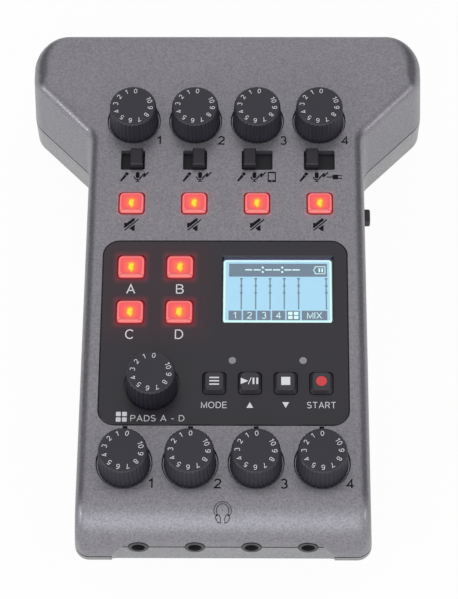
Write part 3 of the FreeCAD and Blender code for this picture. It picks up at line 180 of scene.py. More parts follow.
def tinted(colour, factor):
    """A colour multiplied by a grey factor."""
    mix = colour.id_data.nodes.new("ShaderNodeVectorMath")
    mix.operation = "SCALE"
    link(colour, mix.inputs[0])
    link(factor, mix.inputs["Scale"])
    return mix.outputs[0]


def deck_vector(vector, place):
    """Object coordinates turned to the deck's axes, from a place in metres."""
    centred = vector.id_data.nodes.new("ShaderNodeMapping")
    centred.vector_type = "TEXTURE"
    centred.inputs["Location"].default_value = place
    centred.inputs["Rotation"].default_value = (DECK_TILT, 0, 0)
    link(vector, centred.inputs["Vector"])
    return centred.outputs[0]


# Shader groups

# Share of the paint's colour left in the painted shade at the case joint
SEAM_SHADE_LEVEL = 0.1
CLOUDS_PER_METRE = 42.0
GRAIN_CLOUDS_PER_METRE = 180.0
SMEARS_PER_METRE = 70.0
PAINT_GRAINS_PER_METRE = 5200.0


def flake_group():
    """Metal-flake paint, with painted shade in the joint between the case halves, and the height of its
    moulded grain.
    """
    group, given, made = new_group(
        "metal_flake",
        {
            "Vector": "Vector",
            "Colour": (0.2, 0.2, 0.2, 1),
            "Flakes per metre": 2900.0,
            "Flake contrast": 0.25,
            "Clouding": 0.06,
            "Joint height": 0.018,
            "Joint reach": 0.0003,
        },
        {"Colour": "Color", "Height": "Float"},
    )
    vector = given["Vector"]
    cells = group.nodes.new("ShaderNodeTexVoronoi")
    link(vector, cells.inputs["Vector"])
    link(given["Flakes per metre"], cells.inputs["Scale"])
    split = group.nodes.new("ShaderNodeSeparateColor")
    link(cells.outputs["Color"], split.inputs[0])
    flake = times(minus(split.outputs[0], 0.5), given["Flake contrast"])
    cloud = times(wandering(vector, CLOUDS_PER_METRE, 3.0), given["Clouding"])
    factor = plus(plus(flake, cloud), 1.0)
    # Painted shade in the joint between the case halves: near the joint's height the colour falls to a tenth,
    # fading back within its reach
    away = math_node("ABSOLUTE", minus(parts_of(vector)[2], given["Joint height"]))
    away = over(away, given["Joint reach"])
    seam_shade = plus(times(faded(away, 0.75, 1.0), 1 - SEAM_SHADE_LEVEL), SEAM_SHADE_LEVEL)
    link(tinted(given["Colour"], times(factor, seam_shade)), made["Colour"])
    link(noise_value(vector, PAINT_GRAINS_PER_METRE, 1.0), made["Height"])
    return group


def grain_group():
    """Fine moulded grain for plastics: a height and a slightly uneven colour."""
    group, given, made = new_group(
        "moulded_grain",
        {"Vector": "Vector", "Colour": (0.1, 0.1, 0.1, 1), "Grains per metre": 6000.0, "Unevenness": 0.12},
        {"Colour": "Color", "Height": "Float"},
    )
    vector = given["Vector"]
    grain = noise_value(vector, given["Grains per metre"], 1.5)
    uneven = plus(wandering(vector, GRAIN_CLOUDS_PER_METRE, 3.0), minus(grain, 0.5))
    factor = plus(times(uneven, given["Unevenness"]), 1.0)
    link(tinted(given["Colour"], factor), made["Colour"])
    link(grain, made["Height"])
    return group


def handling_group():
    """Roughness that wanders a little where hands and cloths have been."""
    group, given, made = new_group(
        "handling_marks", {"Vector": "Vector", "Roughness": 0.4, "Amount": 0.1}, {"Roughness": "Float"}
    )
    smear = times(wandering(given["Vector"], SMEARS_PER_METRE, 4.0), given["Amount"])
    link(plus(given["Roughness"], smear), made["Roughness"])
    return group


# Bands on a lit key, as parts of its half width: start, full, fading and end
KEY_BORDER = (0.68, 0.74, 0.76, 0.84)
KEY_RIM = (0.78, 0.88, 0.94, 0.99)
KEY_CREASE = (-0.76, -0.81, -0.85, -0.9)
KEY_WALL = (-0.85, -0.91)
# Painted shade of the gap round the key: start and end
KEY_GAP_SHADE = (0.945, 1.0)
KEY_SQUARENESS = 8
REAR_STRETCH = 1.28
HALO_SIZE = (0.7, 0.86)
SPOT_SIZE = (0.29, 0.53)
SPOT_WOBBLE = 0.4
WOBBLES_PER_METRE = 650.0
GAP_SHADE_SHIFT = 0.03


def key_light_group():
    """Colour of a clear key lit from below: uneven spot, halo, border, rim, and painted shade of the gap
    round it.
    """
    group, given, made = new_group(
        "key_light",
        {
            "Vector": "Vector",
            "Half width": 0.0035,
            "Half length": 0.0035,
            "Spot place": -0.2,
            "Body": srgb(246, 88, 92),
            "Frame": srgb(206, 70, 84),
            "Rim": srgb(255, 158, 152),
            # Painted shade of the gap between key and case, laid on the key's own edge
            "Joint": srgb(124, 26, 36),
            "Halo": srgb(255, 122, 62),
            "Spot": srgb(255, 236, 20),
        },
        {"Colour": "Color"},
    )
    place = parts_of(given["Vector"])
    across = over(place[0], given["Half width"])
    along = over(place[1], given["Half length"])
    rearward = math_node("MAXIMUM", along, times(along, REAR_STRETCH))
    wobble = wandering(given["Vector"], WOBBLES_PER_METRE, 1.0)
    spot_across = plus(across, times(wobble, SPOT_WOBBLE))
    spot_along = minus(along, given["Spot place"])

    def oval(x, y, power):
        """Distance from the middle; the higher the power, the squarer its curves."""
        x = math_node("POWER", math_node("ABSOLUTE", x), power)
        y = math_node("POWER", math_node("ABSOLUTE", y), power)
        return math_node("POWER", plus(x, y), 1 / power)

    def band(value, start, full, fading, end):
        """1 from full to fading, 0 before the start and past the end."""
        return times(faded(value, start, full), faded(value, end, fading))

    def pool(size, full):
        """Light round the spot's place, fading to its oval."""
        return faded(oval(over(spot_across, size[0]), over(spot_along, size[1]), 2), 1.0, full)

    edge = oval(across, rearward, KEY_SQUARENESS)
    shaded_edge = oval(across, plus(rearward, GAP_SHADE_SHIFT), KEY_SQUARENESS)
    layers = (
        (times(band(edge, *KEY_BORDER), 0.45), "Frame"),
        (times(band(edge, *KEY_RIM), 0.6), "Rim"),
        (times(faded(along, *KEY_WALL), 0.5), "Rim"),
        (times(band(along, *KEY_CREASE), 0.6), "Frame"),
        (pool(HALO_SIZE, 0.3), "Halo"),
        (pool(SPOT_SIZE, 0.4), "Spot"),
        # Painted shade of the gap round the key, wider at the rear and narrower at the front
        (faded(shaded_edge, *KEY_GAP_SHADE), "Joint"),
    )
    colour = given["Body"]
    for mask, label in layers:
        colour = blended(mask, colour, given[label])
    link(colour, made["Colour"])
    return group


WIDE_GLOW_REACH = 4.5
WIDE_GLOW_LIGHT = 0.12


def key_glow_group():
    """Red light that leaks round a grid of lit keys; the vector starts at the first key's middle."""
    group, given, made = new_group(
        "key_glow",
        {
            "Vector": "Vector",
            "Pitch across": 0.0125,
            "Pitch along": 0.0125,
            "Keys across": 2.0,
            "Keys along": 2.0,
            "Half key": 0.0036,
            "Reach": 0.0022,
            "Light": srgb(96, 14, 26),
        },
        {"Colour": "Color"},
    )

    def beyond(place, pitch, keys):
        """How far a place is past the side of the nearest key of a row, squared."""
        nearest = math_node("MAXIMUM", math_node("ROUND", over(place, given[pitch])), 0.0)
        nearest = math_node("MINIMUM", nearest, minus(given[keys], 1.0))
        away = math_node("ABSOLUTE", minus(place, times(nearest, given[pitch])))
        return math_node("POWER", math_node("MAXIMUM", minus(away, given["Half key"]), 0.0), 2)

    place = parts_of(given["Vector"])
    across = beyond(place[0], "Pitch across", "Keys across")
    along = beyond(place[1], "Pitch along", "Keys along")
    away = over(math_node("SQRT", plus(across, along)), given["Reach"])
    wide = times(faded(away, WIDE_GLOW_REACH, 0.0), WIDE_GLOW_LIGHT)
    light = plus(faded(away, 1.0, -0.3), wide)
    link(tinted(given["Light"], light), made["Colour"])
    return group


METAL_FLAKE = flake_group()
MOULDED_GRAIN = grain_group()
HANDLING_MARKS = handling_group()
KEY_LIGHT = key_light_group()
KEY_GLOW = key_glow_group()


# Materials

GRAIN_DEPTH = 0.03 * MM


def new_material(name, **plain):
    """A material, its shader and its object coordinates; plain values go on the shader's own sockets."""
    material = bpy.data.materials.new(name)
    material.use_nodes = True
    tree = material.node_tree
    shader = tree.nodes["Principled BSDF"]
    for socket, value in plain.items():
        shader.inputs[socket.replace("_", " ").title().replace("Ior", "IOR")].default_value = value
    return material, shader, tree.nodes.new("ShaderNodeTexCoord").outputs["Object"]


def placed_group(group, vector, **values):
    """A group node in a material, with its own values."""
    node = vector.id_data.nodes.new("ShaderNodeGroup")
    node.node_tree = group
    link(vector, node.inputs["Vector"])
    for label, value in values.items():
        node.inputs[label.replace("_", " ")].default_value = value
    return node


def add_surface(shader, pattern, grain):
    """Give a shader the colour and, as a bump, the height of a pattern."""
    bump = shader.id_data.nodes.new("ShaderNodeBump")
    bump.inputs["Strength"].default_value = grain
    bump.inputs["Distance"].default_value = GRAIN_DEPTH
    link(pattern.outputs["Height"], bump.inputs["Height"])
    link(bump.outputs[0], shader.inputs["Normal"])
    link(pattern.outputs["Colour"], shader.inputs["Base Color"])


def add_handling(shader, vector, roughness, amount):
    """Give a shader a roughness with handling marks."""
    marks = placed_group(HANDLING_MARKS, vector, Roughness=roughness, Amount=amount)
    link(marks.outputs["Roughness"], shader.inputs["Roughness"])


def flake_paint(name, colour, roughness, metallic, contrast, grain):
    """Dark satin paint with metal flakes over grained plastic."""
    material, shader, vector = new_material(name, metallic=metallic)
    add_surface(shader, placed_group(METAL_FLAKE, vector, Colour=colour, Flake_contrast=contrast), grain)
    add_handling(shader, vector, roughness, 0.12)
    return material


def plastic(name, colour, roughness, grain=0.2, unevenness=0.12, grains=6000.0, handled=0.08, **plain):
    """Moulded plastic or rubber with its fine grain and handling marks."""
    material, shader, vector = new_material(name, **plain)
    moulded = placed_group(
        MOULDED_GRAIN, vector, Colour=colour, Unevenness=unevenness, Grains_per_metre=grains
    )
    add_surface(shader, moulded, grain)
    add_handling(shader, vector, roughness, handled)
    return material


def glowing(name, colour, strength):
    """Something lit from behind, slightly uneven."""
    dark = (0.02, 0.02, 0.02, 1)
    material, shader, vector = new_material(name, roughness=0.4, emission_strength=strength, base_color=dark)
    moulded = placed_group(MOULDED_GRAIN, vector, Colour=colour, Unevenness=0.06)
    link(moulded.outputs["Colour"], shader.inputs["Emission Color"])
    return material


def lit_key(name, middle, half_width, half_length):
    """Clear red key with a lamp under its middle."""
    material, shader, vector = new_material(name, roughness=0.35, emission_strength=0.88)
    light = placed_group(
        KEY_LIGHT, deck_vector(vector, middle), Half_width=half_width, Half_length=half_length
    )
    link(light.outputs["Colour"], shader.inputs["Emission Color"])
    add_surface(shader, placed_group(MOULDED_GRAIN, vector, Colour=srgb(96, 26, 30)), 0.1)
    return material


def window_glass():
    """Clear window; light and sight pass through it."""
    material, shader, vector = new_material(
        "window_clear", transmission_weight=1.0, ior=1.45, base_color=(1, 1, 1, 1)
    )
    add_handling(shader, vector, 0.04, 0.03)
    return material


SHELL = flake_paint("shell_grey", srgb(134, 132, 138), 0.37, 0.7, 0.36, 0.15)
LOWER = flake_paint("shell_lower", srgb(148, 148, 150), 0.38, 0.7, 0.36, 0.15)
PANEL = plastic("panel_black", srgb(31, 27, 36), 0.38, 0.1, 0.1, handled=0.12)
KNOB = plastic("knob_black", srgb(38, 36, 46), 0.5, 0.35, 0.15, 5000.0)
LEVER = plastic("lever_black", srgb(38, 34, 42), 0.45, 0.3)
KEY_DARK = plastic("key_dark", srgb(50, 47, 54), 0.5, 0.3)
SOCKET = plastic("socket_black", srgb(32, 31, 34), 0.4, 0.2)
INNER = plastic("inner_plastic", srgb(50, 49, 54), 0.45, 0.2)
RUBBER = plastic("foot_rubber", srgb(38, 37, 39), 0.8, 0.6, 0.2, 3500.0)
BOARD = plastic("board_green", srgb(30, 84, 52), 0.35, 0.1, 0.2)
STEEL = plastic("screw_steel", srgb(180, 180, 184), 0.3, 0.1, 0.1, metallic=1.0)
SHAFT = plastic("shaft_steel", srgb(170, 170, 175), 0.35, 0.1, 0.1, metallic=1.0)
PORT = plastic("port_steel", srgb(190, 190, 196), 0.28, 0.05, 0.08, metallic=1.0)
GOLD = plastic("contact_gold", srgb(226, 190, 110), 0.25, 0.05, 0.08, metallic=1.0)
CELL = plastic("cell_skin", srgb(70, 70, 74), 0.35, 0.05, 0.1)
LIGHT_PIPE = plastic("light_pipe", srgb(140, 139, 146), 0.4, 0.1, 0.08)
LCD_BACK = plastic("display", srgb(40, 42, 50), 0.3, 0.05)
GLASS = window_glass()
WHITE_INK = plastic("ink_white", srgb(225, 225, 230), 0.5, 0.05, 0.05)
BLACK_INK = plastic("ink_black", srgb(18, 15, 20), 0.7, 0.05, 0.05, specular_ior_level=0.15)
# Near-black matt finish for the dark rings that stand in for the shade in the knobs' seats
SEAT_SHADE = plastic("seat_shade_ring", srgb(16, 15, 17), 0.95, 0.4, 0.2, specular_ior_level=0.1)
RED_INK = plastic("ink_red", srgb(214, 62, 66), 0.5, 0.05, 0.05)
DISPLAY_LIT = glowing("display_lit", srgb(170, 226, 255), 0.88)
DISPLAY_EDGE = glowing("display_edge", srgb(214, 255, 255), 0.98)
DISPLAY_BAR = glowing("display_bar", srgb(96, 122, 146), 0.85)
DISPLAY_MARK = glowing("display_mark", srgb(10, 34, 52), 0.6)
DISPLAY_STRIP = glowing("display_strip", srgb(84, 78, 124), 0.7)

FINISHES = {
    "top_shell": SHELL,
    "bottom_shell": LOWER,
    "battery_cover": LOWER,
    "display_panel": PANEL,
    "display_window": GLASS,
    "lcd_module": LCD_BACK,
    "status_lights": LIGHT_PIPE,
    "potentiometers": INNER,
    "switch_frames": INNER,
    "tact_switches": INNER,
    "phones_jacks": INNER,
    "phone_input_jack": INNER,
    "key_board": BOARD,
    "main_board": BOARD,
    "board_screws": STEEL,
    "case_screws": STEEL,
    "battery_contacts": STEEL,
    "xlr_sockets": SOCKET,
    "xlr_inserts": SOCKET,
    "xlr_contacts": GOLD,
    "usb_ports": PORT,
    "card_slot": PORT,
    "batteries": CELL,
    "rubber_feet": RUBBER,
    "power_switch": LEVER,
}


def light_up(material, first, last, keys_across, keys_along, reach):
    """Let a grid of keys leak light over a finish; the first and last key stand at opposite corners."""
    tree = material.node_tree
    shader = tree.nodes["Principled BSDF"]
    start_x, start_y, _ = deck_middle(first)
    end_x, end_y, _ = deck_middle(last)
    start = DECK @ Vector((start_x, start_y, 0))
    glow = placed_group(
        KEY_GLOW,
        deck_vector(tree.nodes["Texture Coordinate"].outputs["Object"], start),
        Keys_across=keys_across,
        Keys_along=keys_along,
        Reach=reach,
        Pitch_across=(end_x - start_x) / (keys_across - 1) * MM,
        Pitch_along=(end_y - start_y) * MM if keys_along > 1 else 1.0,
    )
    link(glow.outputs["Colour"], shader.inputs["Emission Color"])
    shader.inputs["Emission Strength"].default_value = 1.0


light_up(PANEL, "pad_key_a", "pad_key_d", 2, 2, 0.0019)
light_up(SHELL, "mute_key_1", "mute_key_4", 4, 1, 0.0009)


SHUTTER_SHADE = 0.85
SHUTTER_LEVELS = (-0.0009, -0.0002)


def slider_finish():
    """The levers' plastic, with painted shade: darker on the shutter below the deck, inside the slot."""
    material = LEVER.copy()
    material.name = "slider_black"
    tree = material.node_tree
    shader = tree.nodes["Principled BSDF"]
    level = deck_vector(tree.nodes["Texture Coordinate"].outputs["Object"], (0, 0, DECK_HEIGHT * MM))
    raised = faded(parts_of(level)[2], *SHUTTER_LEVELS)
    shade = plus(times(raised, 1 - SHUTTER_SHADE), SHUTTER_SHADE)
    colour = shader.inputs["Base Color"].links[0].from_socket
    link(tinted(colour, shade), shader.inputs["Base Color"])
    shader.inputs["Specular IOR Level"].default_value = 0.38
    return material


SLIDER = slider_finish()
KEY_FOOT = 0.05


def lit_key_finish(node):
    """The lit finish of one key, centred on it and as large as what stands out of the deck."""
    low, high = deck_box(node, above=KEY_FOOT)
    middle = DECK @ Vector(((low.x + high.x) / 2, (low.y + high.y) / 2, high.z))
    return lit_key(node + "_lit", middle, (high.x - low.x) / 2 * MM, (high.y - low.y) / 2 * MM)


def finish_for(node):
    """The material of a CAD node, by its name."""
    if node in FINISHES:
        return FINISHES[node]
    if "knob" in node:
        return KNOB
    if "shaft" in node:
        return SHAFT
    if node.startswith("input_switch"):
        return SLIDER
    if node.startswith(("mute_key", "pad_key")):
        return lit_key_finish(node)
    return KEY_DARK


for node, thing in nodes.items():
    finish = finish_for(node)
    for place in thing.material_slots:
        place.material = finish


# Flat prints

def plain_mesh(carrier):
    """What an object comes to, as a mesh of its own; the object and its modifiers go."""
    bpy.context.scene.collection.objects.link(carrier)
    depsgraph = bpy.context.evaluated_depsgraph_get()
    mesh = bpy.data.meshes.new_from_object(carrier.evaluated_get(depsgraph))
    carrier.modifiers.clear()
    bpy.data.objects.remove(carrier)
    return mesh


def flat_shape(loops):
    """A thin solid within closed loops of points; a loop inside another is a hole."""
    curve = bpy.data.curves.new("outline", "CURVE")
    curve.dimensions = "2D"
    curve.fill_mode = "BOTH"
    curve.extrude = INK / 2
    for loop in loops:
        spline = curve.splines.new("POLY")
        spline.points.add(len(loop) - 1)
        for point, (x, y) in zip(spline.points, loop):
            point.co = (x, y, 0, 1)
        spline.use_cyclic_u = True
    mesh = plain_mesh(bpy.data.objects.new("carrier", curve))
    bpy.data.curves.remove(curve)
    return mesh


def moved(points, x, y, turn=0.0):
    """Points turned by degrees and moved."""
    c = math.cos(math.radians(turn))
    s = math.sin(math.radians(turn))
    return [(x + c * px - s * py, y + s * px + c * py) for px, py in points]


def box_points(width, height):
    """Corners of a rectangle about the origin."""
    return [(x * width / 2, y * height / 2) for x, y in ((-1, -1), (1, -1), (1, 1), (-1, 1))]


def flat_box(width, height, x=0, y=0):
    """A thin box about a place."""
    return flat_shape([moved(box_points(width, height), x, y)])


def arc_points(radius, start, end, steps):
    """Points on an arc about the origin, in degrees."""
    angles = [math.radians(start + (end - start) * step / steps) for step in range(steps + 1)]
    return [(radius * math.cos(angle), radius * math.sin(angle)) for angle in angles]


def disc_points(radius, steps=24):
    """A full circle."""
    return arc_points(radius, 0, 360 - 360 / steps, steps - 1)


def round_box_points(width, height, radius):
    """A rectangle with round corners."""
    points = []
    for index, (a, b) in enumerate(((1, 1), (-1, 1), (-1, -1), (1, -1))):
        corner = arc_points(radius, 90 * index, 90 * index + 90, 5)
        points += moved(corner, a * (width / 2 - radius), b * (height / 2 - radius))
    return points


def bar_points(start, end, width):
    """A straight bar between two points."""
    along = Vector(end) - Vector(start)
    middle = (Vector(start) + Vector(end)) / 2
    turn = math.degrees(math.atan2(along.y, along.x))
    return moved(box_points(along.length, width), middle.x, middle.y, turn)


def oval_points(x, y, wide, tall, start=0, end=360):
    """Points on an oval's arc about (x, y), in degrees; a whole oval ends at its first point."""
    steps = 12 if abs(end - start) < 300 else 24
    points = [(x + wide * a, y + tall * b) for a, b in arc_points(1.0, start, end, steps)]
    if end - start == 360:
        points[-1] = points[0]
    return points


def bowl(x, y, wide, tall):
    """The round side of a letter."""
    return oval_points(x, y, wide, tall, 80, -80)


# The least that a pen line's corner counts as open, so that the mitre of a sharp one stays short
MITRE_LIMIT = 0.4


def pen_loops(points, width):
    """Loops round a line drawn with a pen; a line that ends at its first point is a ring."""
    closed = points[0] == points[-1]
    line = [Vector(point) for point in (points[:-1] if closed else points)]
    left = []
    right = []
    for index, point in enumerate(line):
        first = index == 0 and not closed
        last = index == len(line) - 1 and not closed
        after = line[(index + 1) % len(line)]
        into = (after - point if first else point - line[index - 1]).normalized()
        out = (into if last else after - point).normalized()
        along = (into + out).normalized()
        reach = width / 2 / max(along.dot(into), MITRE_LIMIT)
        left.append((point.x - along.y * reach, point.y + along.x * reach))
        right.append((point.x + along.y * reach, point.y - along.x * reach))
    return [left, right] if closed else [left + right[::-1]]


# Lines of each sign at a height of 1, about its middle
PEN_SIGNS = {
    " ": [[(-0.1, 0.5)]],
    "-": [[(-0.15, 0.4), (0.15, 0.4)]],
    "0": [oval_points(0, 0.5, 0.27, 0.5)],
    "1": [[(-0.2, 0.78), (0.06, 0.97), (0.06, 0)]],
    "2": [oval_points(0, 0.73, 0.26, 0.27, 165, -35) + [(-0.28, 0.03), (0.29, 0.03)]],
    "3": [oval_points(0, 0.745, 0.23, 0.255, 150, -80), oval_points(0, 0.26, 0.27, 0.26, 80, -150)],
    "4": [[(0.12, 0), (0.12, 0.97), (-0.3, 0.29), (0.3, 0.29)]],
    "5": [[(0.23, 0.98), (-0.17, 0.98), (-0.23, 0.5)] + oval_points(0, 0.32, 0.27, 0.32, 135, -145)],
    "6": [oval_points(0, 0.3, 0.27, 0.3), oval_points(0.02, 0.52, 0.29, 0.48, 50, 195)],
    "7": [[(-0.27, 0.97), (0.27, 0.97), (0.04, 0.5), (-0.08, 0)]],
    "8": [oval_points(0, 0.75, 0.22, 0.25), oval_points(0, 0.26, 0.27, 0.26)],
    "9": [oval_points(0, 0.7, 0.27, 0.3), oval_points(-0.02, 0.48, 0.29, 0.48, 230, 375)],
    "A": [[(-0.35, 0), (0, 0.98), (0.35, 0)], [(-0.23, 0.33), (0.23, 0.33)]],
    "B": [
        [(-0.28, 0.97), (0.04, 0.97)] + bowl(0.04, 0.75, 0.22, 0.22) + [(0.04, 0.52), (-0.28, 0.52)],
        [(0.06, 0.52)] + bowl(0.06, 0.275, 0.25, 0.245) + [(0.06, 0.03), (-0.28, 0.03)],
        [(-0.28, -0.02), (-0.28, 1.02)],
    ],
    "C": [oval_points(0.03, 0.5, 0.37, 0.48, 42, 318)],
    "D": [
        [(-0.3, 0.97), (-0.02, 0.97)] + bowl(-0.02, 0.5, 0.35, 0.47) + [(-0.02, 0.03), (-0.3, 0.03)],
        [(-0.3, -0.02), (-0.3, 1.02)],
    ],
    "E": [[(0.27, 0.97), (-0.27, 0.97), (-0.27, 0.03), (0.28, 0.03)], [(-0.27, 0.52), (0.24, 0.52)]],
    "I": [[(0, 0), (0, 1)]],
    "M": [[(-0.36, 0), (-0.36, 0.95), (0, 0.1), (0.36, 0.95), (0.36, 0)]],
    "O": [oval_points(0, 0.5, 0.38, 0.48)],
    "P": [
        [(-0.28, 0.97), (0.03, 0.97)] + bowl(0.03, 0.72, 0.25, 0.25) + [(0.03, 0.47), (-0.28, 0.47)],
        [(-0.28, 0), (-0.28, 1.02)],
    ],
    "R": [
        [(-0.28, 0.97), (0.03, 0.97)] + bowl(0.03, 0.73, 0.25, 0.24) + [(0.03, 0.49), (-0.28, 0.49)],
        [(-0.28, 0), (-0.28, 1.02)],
        [(0.02, 0.49), (0.3, 0)],
    ],
    "S": [oval_points(0, 0.745, 0.26, 0.235, 30, 270)[:-1] + oval_points(0, 0.265, 0.28, 0.245, 90, -150)],
    "T": [[(-0.33, 0.97), (0.33, 0.97)], [(0, 0), (0, 0.97)]],
    "X": [[(-0.32, 0), (0.32, 1)], [(-0.32, 1), (0.32, 0)]],
}
PEN_SPACE = 0.25


def lettering(words, height, pen, width=None):
    """Words drawn with a pen as thin solids, centred; height and, if given, width are over all."""
    lines = []
    reach = 0.0
    for sign in words:
        half = max(abs(x) for line in PEN_SIGNS[sign] for x, _ in line)
        reach += half
        lines += [[(x + reach, y - 0.5) for x, y in line] for line in PEN_SIGNS[sign] if len(line) > 1]
        reach += half + PEN_SPACE
    across = (reach - PEN_SPACE) * height
    stretch = (width - pen) / across if width else 1.0
    tall = height - pen
    shapes = []
    for line in lines:
        drawn = [((x * height - across / 2) * stretch, y * tall) for x, y in line]
        shapes.append(flat_shape(pen_loops(drawn, pen)))
    return joined(shapes)


WELD = 0.0005


def joined(meshes):
    """One mesh of several, its doubles merged."""
    bm = bmesh.new()
    for mesh in meshes:
        bm.from_mesh(mesh)
        bpy.data.meshes.remove(mesh)
    bmesh.ops.remove_doubles(bm, verts=bm.verts, dist=WELD)
    bmesh.ops.recalc_face_normals(bm, faces=bm.faces)
    mesh = bpy.data.meshes.new("joined")
    bm.to_mesh(mesh)
    bm.free()
    return mesh


def add_piece(name, mesh, material, body):
    """A finished mesh as a piece of the object."""
    mesh.name = name
    mesh.materials.clear()
    mesh.materials.append(material)
    piece = bpy.data.objects.new(name, mesh)
    bpy.context.scene.collection.objects.link(piece)
    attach(piece, body)


def print_on_deck(name, meshes, place, material, body="case"):
    """Lay flat meshes on the deck about a place (across, along, level)."""
    mesh = joined(meshes if isinstance(meshes, list) else [meshes])
    x, y, level = place
    mesh.transform(DECK @ Matrix.Translation((x, y, level + INK / 2)))
    add_piece(name, mesh, material, body)


# Geometry Nodes trees

def new_tree(name, inputs):
    """A geometry tree, the sockets that it is given and those that it makes."""
    inputs = {"Geometry": "Geometry", **inputs, "Material": "Material"}
    return new_group(name, inputs, {"Geometry": "Geometry"}, "GeometryNodeTree")


def end_tree(tree, given, made, geometry):
    """Close a tree with Realize Instances and Set Material."""
    real = tree.nodes.new("GeometryNodeRealizeInstances")
    painted = tree.nodes.new("GeometryNodeSetMaterial")
    link(geometry, real.inputs[0])
    link(real.outputs[0], painted.inputs["Geometry"])
    link(given["Material"], painted.inputs["Material"])
    link(painted.outputs[0], made[0])


def digit_ring_tree():
    """Numbers that lie in a row set round a dial, their tops outward, each a step further to the left."""
    tree, given, made = new_tree(
        "digit_ring", {"Radius": 4.87, "Row pitch": 10.0, "Step": math.radians(30), "Start": 0.0}
    )
    place = parts_of(tree.nodes.new("GeometryNodeInputPosition").outputs[0])
    number = math_node("ROUND", over(place[0], given["Row pitch"]))
    out = tree.nodes.new("ShaderNodeCombineXYZ")
    link(minus(place[0], times(number, given["Row pitch"])), out.inputs["X"])
    link(plus(place[1], given["Radius"]), out.inputs["Y"])
    link(place[2], out.inputs["Z"])
    turned = tree.nodes.new("ShaderNodeVectorRotate")
    turned.rotation_type = "Z_AXIS"
    link(out.outputs[0], turned.inputs["Vector"])
    link(plus(times(number, given["Step"]), given["Start"]), turned.inputs["Angle"])
    spread = tree.nodes.new("GeometryNodeSetPosition")
    link(given["Geometry"], spread.inputs["Geometry"])
    link(turned.outputs[0], spread.inputs["Position"])
    end_tree(tree, given, made, spread.outputs[0])
    return tree


def meter_tree():
    """A dotted scale below each given point, with a wider mark at the top and after every few dots."""
    tree, given, made = new_tree(
        "meter_scale",
        {
            "Dots": 18,
            "Pitch": 0.54,
            "Dot": 0.37,
            "Marks": 3,
            "Mark pitch": 2.16,
            "Mark width": 0.75,
            "Thickness": INK,
        },
    )

    def instances(points, shape):
        """A shape on each point."""
        spread = tree.nodes.new("GeometryNodeInstanceOnPoints")
        link(points, spread.inputs["Points"])
        link(shape, spread.inputs["Instance"])
        return spread.outputs[0]

    def column(count, pitch, width):
        """Boxes one below the other, from the origin."""
        step = tree.nodes.new("ShaderNodeCombineXYZ")
        link(times(given[pitch], -1.0), step.inputs["Y"])
        line = tree.nodes.new("GeometryNodeMeshLine")
        link(given[count], line.inputs["Count"])
        link(step.outputs[0], line.inputs["Offset"])
        size = tree.nodes.new("ShaderNodeCombineXYZ")
        link(given[width], size.inputs["X"])
        link(given["Dot"], size.inputs["Y"])
        link(given["Thickness"], size.inputs["Z"])
        box = tree.nodes.new("GeometryNodeMeshCube")
        link(size.outputs[0], box.inputs["Size"])
        return instances(line.outputs[0], box.outputs[0])

    both = tree.nodes.new("GeometryNodeJoinGeometry")
    link(column("Dots", "Pitch", "Dot"), both.inputs[0])
    link(column("Marks", "Mark pitch", "Mark width"), both.inputs[0])
    end_tree(tree, given, made, instances(given["Geometry"], both.outputs[0]))
    return tree


def grown(tree, base, **values):
    """The mesh that a tree makes from a base mesh, as plain data."""
    carrier = bpy.data.objects.new("carrier", base)
    modifier = carrier.modifiers.new("grown", "NODES")
    modifier.node_group = tree
    sockets = {item.name: item.identifier for item in tree.interface.items_tree if item.in_out == "INPUT"}
    for label, value in values.items():
        modifier[sockets[label.replace("_", " ")]] = value
    mesh = plain_mesh(carrier)
    bpy.data.meshes.remove(base)
    return mesh


def loose_points(points):
    """A mesh of points alone."""
    mesh = bpy.data.meshes.new("points")
    mesh.from_pydata(points, [], [])
    return mesh


DIGIT_RING = digit_ring_tree()
METER_SCALE = meter_tree()

# How far each dial's 0 stands to the right of the index in the photograph, in degrees
DIAL_TURNS = {
    "gain_knob_1": 7.5,
    "gain_knob_2": 7.3,
    "gain_knob_3": 6.5,
    "gain_knob_4": 6.0,
    "phones_knob_1": 12.6,
    "phones_knob_2": 3.1,
    "phones_knob_3": 2.0,
    "phones_knob_4": -0.8,
    "pad_level_knob": 8.7,
}
DIGIT_HEIGHT = 1.43
DIGIT_PEN = 0.145
ROW_PITCH = 10.0
SEAT_DEPTH = 0.7
SEAT_RADIUS = 7.5
SEAT_SHADE_INSETS = (0.04, 0.28)


def number_row():
    """The numbers 0 to 10 in a row."""
    numbers = []
    for number in range(11):
        mesh = lettering(str(number), DIGIT_HEIGHT, DIGIT_PEN)
        mesh.transform(Matrix.Translation((number * ROW_PITCH, 0, INK / 2)))
        numbers.append(mesh)
    return joined(numbers)


for knob, turn in DIAL_TURNS.items():
    ring = grown(DIGIT_RING, number_row(), Row_pitch=ROW_PITCH, Start=-math.radians(turn), Material=WHITE_INK)
    x, y, top = deck_middle(knob)
    ring.transform(DECK @ Matrix.Translation((x, y, top)))
    add_piece(knob + "_digits", ring, WHITE_INK, knob)
    if knob != "pad_level_knob":
        # A dark ring on the seat's floor round the knob's foot, standing in for the shade in the seat
        seat_shade_mesh = flat_shape([disc_points(SEAT_RADIUS - inset, 48) for inset in SEAT_SHADE_INSETS])
        print_on_deck(knob + "_seat_shade", seat_shade_mesh, (x, y, -SEAT_DEPTH), SEAT_SHADE)


